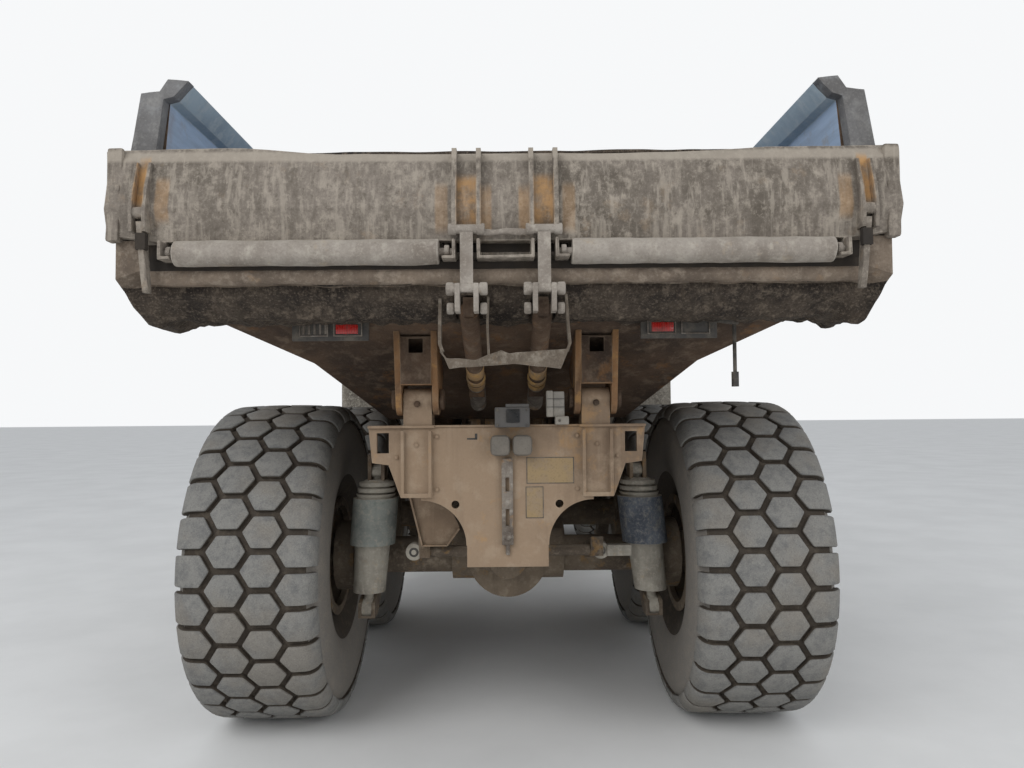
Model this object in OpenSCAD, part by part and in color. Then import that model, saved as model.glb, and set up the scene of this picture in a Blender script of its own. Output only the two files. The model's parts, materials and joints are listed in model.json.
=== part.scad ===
// Articulated dump truck, six driven wheels: rear unit with tipping bed, front unit with cab.
// Millimetres, +Z up, +Y ahead, +X to the right. Inside, y is taken from the rear axle.

/* [Overall] */
// length from the tail of the gate to the front bumper
overall_l = 11260; // [10000:10:12500]
// length behind the rear axle
rear_overhang = 1770; // [1500:10:2100]
// free space between the middle and the rear tyre
wheel_gap = 65; // [40:5:200]
// rear axle to the steering pivot
pivot_y = 5110; // [5000:5:5300]
// steering pivot to the front axle
front_axle_y = 1280; // [1200:5:1400]

/* [Wheels] */
// distance between the two wheels of an axle, tread centre to tread centre
track = 2690; // [2640:2:2730]
// tyre outer diameter, over the lugs
tyre_d = 1875; // [1780:5:1900]
// tyre section width
tyre_w = 745; // [700:1:760]
// rim seat diameter
rim_d = 650; // [620:5:680]
// wheel spindle diameter
spindle_d = 260; // [200:5:280]

/* [Rear frame] */
// outer half width of the frame beams
beam_x = 520; // [500:5:540]
// beam width
beam_w = 150; // [110:5:170]
// beam top height
beam_top = 1730; // [1700:5:1745]
// beam depth
beam_h = 330; // [250:5:360]
// beam wall
beam_t = 14; // [8:1:25]
// height of the rolling bearing between the two units
roll_z = 1100; // [1060:5:1140]
// rolling shaft diameter
roll_d = 260; // [200:5:280]

/* [Bed] */
// height of the flat bottom of the bed
bed_z = 1780; // [1765:1:1800]
// bed plate thickness
bed_t = 25; // [15:1:35]
// inner face of the bed sides, half width
bed_in_x = 1500; // [1440:5:1520]
// outer half width of the tail
bed_out_x = 1670; // [1660:1:1680]
// bed side top height
bed_top = 3200; // [3050:10:3300]
// headboard front face
bed_front = 3700; // [3500:10:3750]
// rear edge of the floor
bed_tail = -1620; // [-1650:5:-1580]
// rise of the chute, degrees
chute_a = 23.4; // [20:0.1:26]
// hinge of the bed behind the rear axle
tip_y = -1000; // [-1040:5:-980]
// height of that hinge
tip_z = 1885; // [1875:1:1900]
// bed hinge pin diameter
tip_pin = 70; // [50:2:80]

/* [Tailgate] */
// lower edge of the gate
gate_low = 2446; // [2442:1:2470]
// upper edge of the gate
gate_top = 2905; // [2850:5:2950]
// gate plate thickness
gate_t = 20; // [12:1:30]
// gate pivot ahead of the rear axle
gate_y = -600; // [-800:10:-400]
// height of the gate pivot
gate_z = 2800; // [2760:5:2860]
// diameter of the two tubes along the lower edge
tube_d = 112; // [90:2:120]

/* [Front unit] */
// cab width
cab_w = 1580; // [1400:10:1640]
// cab rear wall
cab_y0 = 5560; // [5540:10:5640]
// cab front at its floor
cab_y1 = 7120; // [7000:10:7200]
// cab floor
cab_z0 = 1840; // [1800:5:1900]
// cab roof underside
cab_z1 = 3520; // [3400:10:3600]
// cab wall
cab_t = 50; // [30:2:70]
// hood half width
hood_x = 660; // [600:10:700]
// hood top at its rear edge
hood_z = 2560; // [2480:10:2620]
// bumper depth ahead of the hood
bumper_d = 210; // [150:5:260]

/* [Fits] */
// radial clearance of a turning pin
fit = 0.05; // [0.02:0.01:0.1]
// gap between pieces that move past each other
gap = 12; // [8:1:20]
// gap under a slanted plate where it rests on another piece
seat = 0.3; // [0.1:0.1:0.5]

/* [Hidden] */
$fn = 48;
y_rear = -overall_l / 2 + rear_overhang;
wheel_r = tyre_d / 2;
wheel_x = track / 2;
mid_y = tyre_d + wheel_gap;
fax_y = pivot_y + front_axle_y;
spindle_r = spindle_d / 2;
rim_r = rim_d / 2;
nose_y = overall_l - rear_overhang;
hood_y = nose_y - bumper_d;
// chute: where its underside leaves the flat bottom
lip_z = 2420;
chute_y = bed_tail + (lip_z - bed_z) / tan(chute_a);
fc = [0.80, 0.62, 0.28];

// Helpers
module from_rear() translate([0, y_rear, 0]) children();
// a box by its limits
module bx(x0, x1, y0, y1, z0, z1)
    translate([x0, y0, z0]) cube([x1 - x0, y1 - y0, z1 - z0]);
// the same box on both sides of the truck
module bx2(x0, x1, y0, y1, z0, z1)
    for (s = [0, 1]) mirror([s, 0, 0]) bx(x0, x1, y0, y1, z0, z1);
// a profile drawn in (y, z), from x0 to x1
module yz(x0, x1) translate([x0, 0, 0]) rotate([90, 0, 90])
    linear_extrude(x1 - x0) children();
// a profile drawn in (x, z), from y0 to y1
module xz(y0, y1) translate([0, y1, 0]) rotate([90, 0, 0])
    linear_extrude(y1 - y0) children();
module both() { children(); mirror([1, 0, 0]) children(); }
module xcyl(x0, x1, y, z, r) translate([x0, y, z]) rotate([0, 90, 0]) cylinder(r = r, h = x1 - x0);
module ycyl(y0, y1, x, z, r) translate([x, y0, z]) rotate([-90, 0, 0]) cylinder(r = r, h = y1 - y0);
module zcyl(z0, z1, x, y, r) translate([x, y, z0]) cylinder(r = r, h = z1 - z0);
// children lie along +Z from point a and are turned in the (y, z) plane towards b
module aim(a, b) translate([a[0], a[1], a[2]])
    rotate([-atan2(b[1] - a[1], b[2] - a[2]), 0, 0]) children();
function far(a, b) = norm([b[0] - a[0], b[1] - a[1], b[2] - a[2]]);

// Rear frame
front_drop_y = 2900;
nose_h = 300;
link_y = mid_y / 2;
module beam_side(t) polygon([
    [tip_y - 20 + t, beam_top - beam_h + t], [front_drop_y, beam_top - beam_h + t],
    [4050 - t, roll_z - nose_h / 2 + t], [4050 - t, roll_z + nose_h / 2 + 60 - t],
    [front_drop_y + 300, beam_top - t], [tip_y - 20 + t, beam_top - t]]);
module rear_frame() color(fc) from_rear() {
    difference() {
        union() {
            both() difference() {
                yz(beam_x - beam_w, beam_x) beam_side(0);
                yz(beam_x - beam_w + beam_t, beam_x - beam_t) beam_side(beam_t);
            }
            // cross tubes between the beams
            for (c = [[-350, 1560, 90], [front_drop_y + 100, 1330, 100]])
                xcyl(-beam_x + beam_w, beam_x - beam_w, c[0], c[1], c[2]);
            // bearing housing of the rolling joint
            bx(-beam_x, beam_x, 4050, 4090, roll_z - nose_h / 2, roll_z + nose_h / 2 + 60);
            ycyl(4090, 4690, 0, roll_z, 195);
            both() xz(4090, 4230) polygon([[150, roll_z - 30], [beam_x - 80, roll_z - 20],
                [beam_x - 80, roll_z + 20], [150, roll_z + 30]]);
            // cross box that carries the bogie's pivots
            bx(-beam_x + beam_w, beam_x - beam_w, link_y - 80, link_y + 80, 1240, 1400);
            // strut brackets beside the beams, an ear on each side of the strut's eye
            both() for (y = [strut_y(0), strut_y(1)]) {
                bx(beam_x, strut_x + 48, y - 60, y + 60, strut_z1 + 50, strut_z1 + 80);
                for (x = [strut_x - 48, strut_x + 28])
                    bx(x, x + 20, y - 60, y + 60, strut_z1 - 90, strut_z1 + 50);
            }
            // ears and pins of the tipping cylinders
            both() {
                for (x = [tipc_x - 60, tipc_x + 36]) yz(x, x + 24) polygon([
                    [tipc_f[0] - 75, tipc_f[1] - 60], [tipc_f[0] + 75, tipc_f[1] - 60],
                    [front_drop_y + 120, 1260], [front_drop_y + 20, 1320]]);
                xcyl(tipc_x - 60, tipc_x + 60, tipc_f[0], tipc_f[1], 35);
            }
            // bracket of the rear cross rod
            for (a = [[-430, 1], [mid_y + 430, 1]]) xz(a[0] - 40, a[0] + 40)
                polygon([[-520, 1400], [-380, 1400], [-330, 1240], [-440, 1100], [-440, 1000],
                    [-500, 1000]]);
        }
        ycyl(4200, 4700, 0, roll_z, roll_d / 2 + fit);
    }
}
module plate_half() polygon([[0, 1755], [683, 1755], [665, 1573], [584, 1562], [526, 1404],
    [425, 1404], [425, 1165], [200, 1165], [200, 1060], [0, 1060]]);
plate_y = tip_y - 50;
// the two round holes of the end plate
tie_x = 256;
tie_z = 1366;
tie_r = 20;
module rear_plate() color(fc) from_rear() {
    difference() {
        xz(plate_y, plate_y + 30) union() { plate_half(); mirror([1, 0]) plate_half(); }
        both() {
            ycyl(plate_y - 5, plate_y + 35, 425, 1165, 222);
            ycyl(plate_y - 5, plate_y + 35, tie_x, tie_z, tie_r);
            bx(582, 642, plate_y - 5, plate_y + 35, 1620, 1720);
        }
    }
    // end channels of the beams
    both() {
        bx(370, 385, plate_y - 30, plate_y, 1404, 1730);
        bx(505, 520, plate_y - 30, plate_y, 1404, 1730);
        bx(385, 505, plate_y - 30, plate_y, 1404, 1424);
        // lug of the bed hinge
        difference() {
            yz(370, 510) union() {
                polygon([[tip_y - 20, 1755], [tip_y + 110, beam_top], [tip_y + 110, beam_top + 40],
                    [tip_y + 50, tip_z], [tip_y - 50, tip_z], [tip_y - 50, 1755]]);
                translate([tip_y, tip_z]) circle(55);
            }
            xcyl(360, 520, tip_y, tip_z, tip_pin / 2 + fit);
            bx(360, 520, tip_y - 20, tip_y + 120, beam_top - 50, beam_top);
        }
    }
}

// Axles, struts and links of the bogie; the front axle uses the same housing
strut_x = 800;
strut_z1 = 1500;
strut_z0 = 690;
// half length of the axle head, nose to nose
head_l = 236;
function strut_y(i) = i == 0 ? -300 : mid_y + 300;
module housing() {
    ycyl(-140, 140, 0, wheel_r, 240);
    ycyl(-head_l, head_l, 0, wheel_r, 110);
    xcyl(-wheel_x + 300, wheel_x - 300, 0, wheel_r, 110);
    both() {
        xcyl(120, 340, 0, wheel_r, 150);
        xcyl(wheel_x - 420, wheel_x - 300, 0, wheel_r, 210);
        xcyl(wheel_x - 300, wheel_x - 30, 0, wheel_r, spindle_r);
    }
}
module bogie_axles() color([0.55, 0.38, 0.18]) from_rear()
    for (a = [[0, -1], [mid_y, 1]]) translate([0, a[0], 0]) {
        housing();
        both() difference() {
            yz(strut_x - 48, strut_x + 48) polygon([[0, wheel_r - 100], [0, wheel_r + 60],
                [a[1] * 240, strut_z0 + 60], [a[1] * 360, strut_z0 + 30],
                [a[1] * 360, strut_z0 - 55], [a[1] * 240, strut_z0 - 55]]);
            xcyl(strut_x - 28, strut_x + 28, a[1] * 300, strut_z0, 72);
        }
        // block of the cross rod
        yz(470, 540) polygon([[0, wheel_r + 60], [a[1] * 470, 1110], [a[1] * 470, 1000],
            [0, wheel_r - 40]]);
    }
module strut() {
    xcyl(-28, 28, 0, strut_z0, 60);
    zcyl(strut_z0 + 40, 800, 0, 0, 27);
    zcyl(800, 1070, 0, 0, 93);
    zcyl(1070, 1290, 0, 0, 119);
    for (i = [0:2]) zcyl(1290 + i * 36, 1314 + i * 36, 0, 0, 96 - 6 * i);
    zcyl(1290, strut_z1 - 100, 0, 0, 70);
    zcyl(strut_z1 - 110, strut_z1 - 40, 0, 0, 27);
    xcyl(-28, 28, 0, strut_z1 - 30, 48);
}
module bogie_struts() color([0.30, 0.31, 0.30]) from_rear()
    both() for (i = [0, 1]) translate([strut_x, strut_y(i), 0]) strut();
module bogie_links() color([0.45, 0.33, 0.18]) from_rear() {
    // fore and aft frames from each axle towards the middle of the bogie
    for (a = [[0, 1], [mid_y, -1]]) both() {
        yz(290, 370) polygon([[a[0] + a[1] * 150, wheel_r - 70], [a[0] + a[1] * 150, wheel_r + 70],
            [a[0] + a[1] * (link_y - 80), 1400], [a[0] + a[1] * (link_y - 80), 1250]]);
    }
    // cross rods
    for (y = [-430, mid_y + 430]) xcyl(-440, 470, y, 1055, 42);
    // shafts between the heads
    ycyl(head_l + 0.3, mid_y - head_l - 0.3, 0, wheel_r, 60);
    ycyl(mid_y + head_l + 0.3, 4049.7, 0, wheel_r + 30, 60);
}
module tow_gear() color([0.42, 0.42, 0.40]) from_rear() {
    bx(-58, 110, plate_y - 110, plate_y, 1745, 1858);
    ycyl(plate_y - 122, plate_y - 110, 30, 1800, 32);
    for (x = [-39, 73]) ycyl(plate_y - 80, plate_y, x, 1655, 50);
    difference() {
        bx(-28, 28, plate_y - 24, plate_y, 1170, 1590);
        bx(-9, 9, plate_y - 30, plate_y + 5, 1260, 1500);
    }
}

// Bed
knuckle_x = 1000;
flat_x = 720;
// cross section of the bed shell, t inwards from the outside
module bed_cross(t) polygon([
    [-flat_x + t * 0.6, bed_z + t], [flat_x - t * 0.6, bed_z + t],
    [knuckle_x - t * 0.7, 2080 + t], [bed_in_x + 20 - t, 2340 + t], [bed_in_x + 20 - t, bed_top + t],
    [-bed_in_x - 20 + t, bed_top + t], [-bed_in_x - 20 + t, 2340 + t],
    [-knuckle_x + t * 0.7, 2080 + t]]);
// its length section
module bed_length(t) polygon([
    [bed_tail - 1, lip_z + tan(chute_a) + t * 1.09], [chute_y, bed_z + t], [bed_front - 400 - t, bed_z + t],
    [bed_front - 20 - t, 2500], [bed_front - 20 - t, bed_top + 3 * t], [bed_tail - 1, bed_top + 3 * t]]);
module bed_shape(t) intersection() {
    xz(bed_tail - (t > 0 ? 5 : 0), bed_front) bed_cross(t);
    yz(-1700, 1700) bed_length(t);
}
// height of the chute's underside, and the lean of the rear edge of the sides
function chute(y) = lip_z - (y - bed_tail) * tan(chute_a);
function lean(z) = bed_tail + max(0, z - 2540) * 0.227;
module bed_shell() difference() {
    bed_shape(0);
    bed_shape(bed_t);
}
side_z = 2370;
module bed_floor() color(fc) from_rear() intersection() {
    bed_shell();
    union() {
        bx(-1700, 1700, bed_tail, bed_front - 445, 1700, side_z);
        bx(-bed_in_x + 60, bed_in_x - 60, bed_tail, -1400, side_z - 10, 2500);
        bx(-1700, 1700, bed_tail, bed_tail + 60 - seat, side_z - 10, 2469);
    }
}
// region of a side, cut off behind along its leaning edge
module side_cut() yz(-1700, 1700) polygon([[bed_tail + 60, side_z], [bed_tail + 60, 2540],
    [lean(3300) + 60, 3300], [bed_front - 445, 3300], [bed_front - 445, side_z]]);
// section of the rail that leans in along the top of the sides
module top_rail() polygon([[bed_in_x + 20, bed_top], [bed_in_x - 10, bed_top + 60],
    [bed_in_x - 100, bed_top + 50], [bed_in_x - 45, bed_top - 25], [bed_in_x, bed_top - 40],
    [bed_in_x + 20, bed_top - 40]]);
rib_y = [250, 1150, 2050, 2950];
module bed_side(s) {
    // boss and pin of the gate's arm
    mirror([s < 0 ? 1 : 0, 0, 0]) {
        xcyl(bed_in_x + 20, bed_out_x - 50, gate_y, gate_z, 70);
        xcyl(bed_out_x - 50, bed_out_x + 2, gate_y, gate_z, 40);
        intersection() {
            xz(bed_tail + 60, bed_front - 445) top_rail();
            side_cut();
        }
        // upright ribs and the rail along the knee
        for (y = rib_y) xz(y, y + 110) polygon([[bed_in_x + 15, 2400], [bed_in_x + 85, 2480],
            [bed_in_x + 85, bed_top - 120], [bed_in_x + 15, bed_top - 50]]);
        bx(bed_in_x + 15, bed_in_x + 55, bed_tail + 60, bed_front - 445, 2400, 2470);
    }
    // the panel, split from the floor at the knee and from the headboard at the corner
    intersection() {
        bed_shell();
        side_cut();
        bx(s > 0 ? bed_in_x - 60 : -1700, s > 0 ? 1700 : -bed_in_x + 60, bed_tail,
            bed_front, side_z, bed_top);
    }
}
module bed_side_right() color(fc) from_rear() bed_side(1);
module bed_side_left() color(fc) from_rear() bed_side(-1);
module bed_headboard() color(fc) from_rear() {
    intersection() {
        bed_shell();
        bx(-1700, 1700, bed_front - 445, bed_front, 1700, bed_top);
    }
    // ribs in front and the spill guard on top
    for (x = [-1200, -600, -60, 480, 1080]) bx(x, x + 120, bed_front - 20, bed_front + 5, 2520, bed_top);
    bx(-bed_in_x - 20, bed_in_x + 20, bed_front - 60, bed_front + 5, bed_top, bed_top + 120);
    both() xz(bed_front - 445, bed_front - 20) top_rail();
}
module bed_tail_beam() color(fc) from_rear() {
    // box across the tail, cut off at its outer ends, with the round bar along the lip
    intersection() {
        yz(-bed_out_x, bed_out_x) polygon([[bed_tail, lip_z - seat], [bed_tail + 10, 2360],
            [-1500, 2228], [-1240, 2240],
            [bed_tail + (lip_z - seat - 2240) / tan(chute_a), 2240]]);
        xz(bed_tail - 50, -1000) polygon([[-bed_out_x, lip_z], [-bed_out_x, 2385], [-1530, 2200],
            [1530, 2200], [bed_out_x, 2385], [bed_out_x, lip_z]]);
        // room for the rods of the gate
        difference() {
            bx(-1700, 1700, -1700, -1000, 2100, 2500);
            both() yz(rod_x - 56, rod_x + 56) polygon([[-1640, 2100], [-1640, 2339],
                [-1200, 2179], [-1200, 2100]]);
        }
    }
    xcyl(-bed_in_x - 20, bed_in_x + 20, bed_tail - 27, lip_z - 29, 35);
    // end plates and rear posts of the sides
    both() {
        yz(bed_in_x + 20, bed_out_x) polygon([[bed_tail - 60, lip_z], [bed_tail + 2, lip_z - 34],
            [bed_tail + 60, lip_z - 34],
            [bed_tail + 60, 2540], [bed_tail - 60, 2540]]);
        intersection() {
            xz(bed_tail, bed_tail + 300) polygon([[bed_in_x, 2470], [1618, 2470], [1600, 3190],
                [1520, 3200], [1490, 3260], [1400, 3250], [1455, 3175], [bed_in_x, 3160]]);
            yz(1300, 1700) polygon([[bed_tail, 2400], [bed_tail, 2540], [lean(3300), 3300],
                [lean(3300) + 60 - seat, 3300], [bed_tail + 60 - seat, 2540],
                [bed_tail + 60 - seat, 2400]]);
        }
    }
}
module bed_rails() color(fc) from_rear() {
    // two beams under the flat bottom, with ears for the tipping cylinders
    both() {
        bx(380, 500, 150, 3100, bed_z - 45, bed_z);
        for (x = [tipc_x - 76, tipc_x + 52]) yz(x, x + 24) union() {
            polygon([[tipc_b[0] - 150, bed_z], [tipc_b[0] + 150, bed_z],
                [tipc_b[0] + 50, tipc_b[1]], [tipc_b[0] - 50, tipc_b[1]]]);
            translate(tipc_b) circle(50);
        }
        // hinge plates with their pin
        for (x = [335, 515]) yz(x, x + 30) union() {
            polygon([[-1150, 2216], [-740, 2039], [tip_y + 60, tip_z - 30], [tip_y - 80, tip_z]]);
            translate([tip_y, tip_z]) circle(80);
        }
        xcyl(325, 555, tip_y, tip_z, tip_pin / 2);
        bx(365, 515, -1105, -960, 1955, 1990);
        difference() {
            bx(365, 515, -1125, -1100, 1955, 2190);
            bx(405, 475, -1130, -1100, 2110, 2180);
        }
    }
}
module bed_lamps() color([0.25, 0.20, 0.18]) from_rear() {
    marker();
    lamp_plates();
}
module lamp_plates() both() {
    bx(700, 1060, -1230, -1210, 2150, 2240);
    for (x = [730, 890]) bx(x, x + 130, -1242, -1230, 2172, 2232);
}
// hanging side marker: a rubber stalk with a thick lower end
module marker() {
    zcyl(1990, 2239.7, 1082, -1222, 9);
    zcyl(1930, 2000, 1082, -1222, 17);
    bx(1050, 1100, -1232, -1212, 2225, 2239.7);
}
module bed_flaps() color([0.16, 0.16, 0.16]) from_rear() both() {
    xz(bed_front - 600, bed_front - 585) polygon([[1010, 1150], [1600, 1150],
        [1600, 2300], [bed_in_x + 20, 2340], [1010, 2085]]);
}
// underside of the tail beam behind y = -1500
function beam_low(y) = 2360 - (y - bed_tail - 10) * 1.2 - seat;
// bent upper edge of the guard's lip
dent = [[-278, 2080], [-256, 2049], [-131, 2040], [-77, 2062], [-24, 2080], [11, 2067],
    [266, 2084]];
module bed_guard() color([0.6, 0.55, 0.45]) from_rear() {
    // bent sheet loop behind the bed hinge
    intersection() {
        xz(-1600, -1550) {
            polygon([[-284, 2400], [-272, 2400], [-276, 2110], [-266, 2080], [-276, 2066],
                [-290, 2110]]);
            polygon([[-82, 2400], [-72, 2400], [-72, 2050], [-82, 2050]]);
            polygon([[242, 2400], [254, 2400], [279, 2110], [267, 2078], [255, 2078], [267, 2110]]);
            polygon(concat(dent, [[268, 2074], [11, 2057], [-24, 2070], [-77, 2052], [-131, 2030],
                [-256, 2039], [-284, 2076]]));
        }
        yz(-300, 300) polygon([[-1600, 2000], [-1550, 2000], [-1550, beam_low(-1550)],
            [-1600, beam_low(-1600)]]);
    }
    xz(-1608, -1596) polygon(concat(dent, [[230, 2000], [25, 2022], [-33, 2018], [-244, 2004]]));
}
rod_x = 158;
module gate_rods() color([0.5, 0.45, 0.35]) from_rear() both() {
    a = [rod_x, -1600, 2265];
    b = [rod_x, -720, 1945];
    aim(a, b) translate([0, 0, 30]) cylinder(r = 42, h = far(a, b) - 30);
    xcyl(rod_x - 22, rod_x + 22, a[1], a[2], 42);
    yz(rod_x - 40, rod_x + 40) polygon([[-780, 1900], [-660, 1900],
        [-660, chute(-660) - seat], [-780, chute(-780) - seat]]);
}

// Tailgate
gy = bed_tail - gap - 8;
bend_z = 2660;
module tailgate_panel() color(fc) from_rear() {
    // pressed sheet: a face bent at two heights, drawn back behind the tubes
    yz(-bed_in_x - 140, bed_in_x + 140) polygon([[gy, 2560], [gy - gate_t - 50, 2560],
        [gy - gate_t - 50, 2600], [gy - gate_t - 70, bend_z], [gy - gate_t - 30, gate_top - 50],
        [gy - gate_t, gate_top], [gy, gate_top], [gy - 10, gate_top - 60], [gy - 50, bend_z],
        [gy - 30, 2600], [gy - 30, 2580], [gy, 2580]]);
    bx(-bed_in_x, bed_in_x, gy - 12, gy, gate_low, 2560);
    for (x = [-1409, -218, -118, 104, 204, 1395])
        bx(x, x + 14, gy - 118, gy - 12, gate_low, 2560);
    for (x = [[-1395, -1360], [-262, -204], [-104, 104], [204, 262], [1360, 1395]])
        bx(x[0], x[1], gy - 118, gy - 12, gate_low, gate_low + 12);
    // side arms outside the bed, pivoted ahead
    both() difference() {
        union() {
            yz(bed_out_x - 40, bed_out_x) polygon([[gy - 10, 2560], [gy - 10, gate_top],
                [gy + 260, gate_top], [gate_y + 40, gate_z + 90], [gate_y + 90, gate_z - 60],
                [gy + 300, 2560]]);
            xcyl(bed_out_x - 40, bed_out_x, gate_y, gate_z, 90);
        }
        xcyl(bed_out_x - 50, bed_out_x + 10, gate_y, gate_z, 40 + fit);
    }
}
strap_z = [2625, 2355, 2265];
strap_y = gy - 108;
module tailgate_ribs() color(fc) from_rear() both() {
    for (x = [98, 198]) yz(x, x + 20) polygon([[gy - gate_t - 50, 2560], [gy - 122, 2560],
        [gy - 122, bend_z + 10], [gy - gate_t - 60, gate_top + 2], [gy - gate_t, gate_top + 2],
        [gy - gate_t, gate_top], [gy - gate_t - 30, gate_top - 50], [gy - gate_t - 70, bend_z],
        [gy - gate_t - 50, 2600]]);
    // ribs near the ends, with a pin between them, and the hook arm under each
    for (x = [1452, 1506]) yz(x, x + 14) polygon([[gy - gate_t - 50, 2560], [gy - 125, 2560],
        [gy - 130, 2640], [gy - 115, 2720], [gy - gate_t - 55, gate_top - 70],
        [gy - gate_t - 36, gate_top - 70], [gy - gate_t - 70, bend_z], [gy - gate_t - 50, 2600]]);
    xcyl(1466, 1506, gy - 106, 2637, 22);
    yz(1466, 1490) polygon([[gy - 70, 2600], [gy - 125, 2600], [gy - 120, 2470], [gy - 100, 2400],
        [gy - 70, 2400], [gy - 70, 2480]]);
    xcyl(118, 198, strap_y, strap_z[0], 12);
}
module tailgate_tubes() color(fc) from_rear() both() {
    // pins between the tube's ends and the end plates
    xcyl(218, 1395, gy - 70, gate_low + 32, 17);
    xcyl(272, 1352, gy - 12.5 - tube_d / 2, gate_low + tube_d / 2 - 24, tube_d / 2);
}
module tailgate_straps() color([0.6, 0.55, 0.45]) from_rear() both() {
    difference() {
        bx(rod_x - 26, rod_x + 26, strap_y - 12, strap_y + 12, strap_z[1] - 40, strap_z[0] + 14);
        xcyl(0, 300, strap_y, strap_z[0], 12 + fit);
    }
    // shackle of two cheeks, its lower end open
    for (x = [rod_x - 48, rod_x + 28]) bx(x, x + 20, strap_y - 22, strap_y + 60, 2225, 2390);
    xcyl(rod_x - 66, rod_x + 66, strap_y, strap_z[1], 20);
}

// Hitch between the units
ear_z = [760, 1360];
module hitch() color([0.5, 0.42, 0.25]) from_rear() {
    ycyl(4230, 4710, 0, roll_z, roll_d / 2);
    ycyl(4702, 4760, 0, roll_z, 190);
    bx(-130, 130, 4760, pivot_y - 60, roll_z - 190, roll_z + 190);
    zcyl(roll_z - 240, roll_z + 240, 0, pivot_y, 110);
    zcyl(ear_z[0] - 20, ear_z[1] + 100, 0, pivot_y, 60);
    // wings for the steering rods
    both() for (z = [steer_z - 64, steer_z + 40]) translate([0, 0, z]) linear_extrude(24)
        polygon([[100, 4790], [steer_e[0] + 50, steer_e[1] - 60], [steer_e[0] + 50, steer_e[1] + 50],
            [100, pivot_y - 40]]);
}

// Front unit
module front_frame() color(fc) from_rear() {
    both() difference() {
        bx(350, 500, 5480, hood_y - 100, 1050, 1400);
        bx(364, 486, 5494, hood_y - 114, 1064, 1386);
    }
    bx(-600, 600, hood_y - 100, hood_y, 1050, 1140);
    difference() {
        union() {
            for (z = ear_z) {
                translate([0, 0, z]) linear_extrude(80) polygon([[-110, pivot_y], [110, pivot_y],
                    [350, 5480], [-350, 5480]]);
                zcyl(z, z + 80, 0, pivot_y, 110);
            }
            bx(-350, 350, 5400, 5560, 1020, 1440);
            bx(-220, 220, 5400, 5560, 760, 1020);
        }
        zcyl(700, 1500, 0, pivot_y, 60 + fit);
    }
    for (y = [6900, 8000, hood_y - 200]) bx(-350, 350, y, y + 80, 1100, 1300);
    // brackets and pins of the steering cylinders
    both() {
        for (z = [steer_z - 62, steer_z + 38]) bx(500, steer_p[0] + 50, steer_p[1] - 60,
            steer_p[1] + 60, z, z + 24);
        bx(steer_p[0] + 50, steer_p[0] + 66, steer_p[1] - 60, steer_p[1] + 60, steer_z - 62, 1120);
        bx(500, steer_p[0] + 66, steer_p[1] - 60, steer_p[1] + 60, 1100, 1120);
        zcyl(steer_z - 62, steer_z + 62, steer_p[0], steer_p[1], 25);
    }
    // strut towers, tank brackets, step arms
    both() {
        bx(500, 520, fax_y - 80, fax_y + 80, 1300, 1740);
        bx(500, 740, fax_y - 80, fax_y + 80, 1700, 1740);
        bx(350, 620, 5400, 5480, 1180, 1300);
        bx(560, 620, 5300, 5400, 1180, 1300);
        bx(500, 980, 7600, 7680, 1300, 1380);
    }
    // hinge posts of the hood and of the grille
    both() {
        difference() {
            bx(560, 590, hood_py - 45, hood_py + 10, 1140, hood_pz + 25);
            xcyl(550, 600, hood_py, hood_pz, 12 + fit);
        }
        difference() {
            bx(305, 325, grille_py - 40, hood_y, 1140, 1190);
            xcyl(300, 330, grille_py, grille_pz, 10 + fit);
        }
    }
    // cross carriers of the cab
    for (y = [cab_y0 + 200, cab_y1 - 220]) {
        bx(-cab_w / 2 + 10, cab_w / 2 - 10, y, y + 90, 1640, 1720);
        both() bx(400, 480, y, y + 90, 1400, 1640);
        both() bx(cab_w / 2 - 100, cab_w / 2 - 10, y, y + 90, 1720, cab_z0);
    }
}
module front_axle() color([0.55, 0.38, 0.18]) from_rear() {
    translate([0, fax_y, 0]) {
        housing();
        // leading frame and the two struts
        both() yz(300, 380) polygon([[120, wheel_r - 90], [120, wheel_r + 90], [700, 1050],
            [700, 950]]);
        both() translate([640, 0, 0]) {
            bx(-50, 50, -60, 60, wheel_r + 100, wheel_r + 150);
            zcyl(wheel_r + 150, 1300, 0, 0, 75);
            zcyl(1300, 1700, 0, 0, 95);
        }
    }
}
module engine() color([0.3, 0.3, 0.28]) from_rear() {
    bx(-330, 330, 7260, 8560, 1300, 2160);
    ycyl(5900, 7260, 0, 1461, 160);
    // cooler stack behind the grille
    bx(-540, 540, hood_y - 200, hood_y - 110, 1400, 1860);
}
module front_bumper() color([0.2, 0.2, 0.2]) from_rear() {
    xz(hood_y, nose_y) polygon([[-1350, 1000], [-1350, 820], [-1200, 700], [1200, 700], [1350, 820],
        [1350, 1000], [1200, 1140], [-1200, 1140]]);
}
fender_r = 1050;
module front_fenders() color(fc) from_rear() both() {
    intersection() {
        difference() {
            xcyl(cab_w / 2, 1720, fax_y, wheel_r + 40, fender_r);
            xcyl(cab_w / 2 - 10, 1730, fax_y, wheel_r + 40, fender_r - 25);
        }
        bx(cab_w / 2 - 20, 1730, fax_y - 980, fax_y + 980, wheel_r + 500, 2200);
    }
}
module cab_steps() color([0.15, 0.15, 0.15]) from_rear() both() {
    for (i = [0:3]) bx(1000, 1500, 7560, 7760, 560 + i * 330, 600 + i * 330);
    bx(980, 1000, 7560, 7760, 560, 1850);
    bx(1500, 1520, 7560, 7760, 560, 1850);
    bx(670, 1520, cab_y1 + 80, 7760, 1850, 1880);
}
module cab_profile() polygon([[cab_y0, cab_z0], [cab_y1, cab_z0], [cab_y1 + 60, 2450],
    [cab_y1 - 260, cab_z1], [cab_y0 + 60, cab_z1], [cab_y0, 2500]]);
door_y0 = 5900;
door_y1 = 6960;
door_z0 = 2060;
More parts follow.
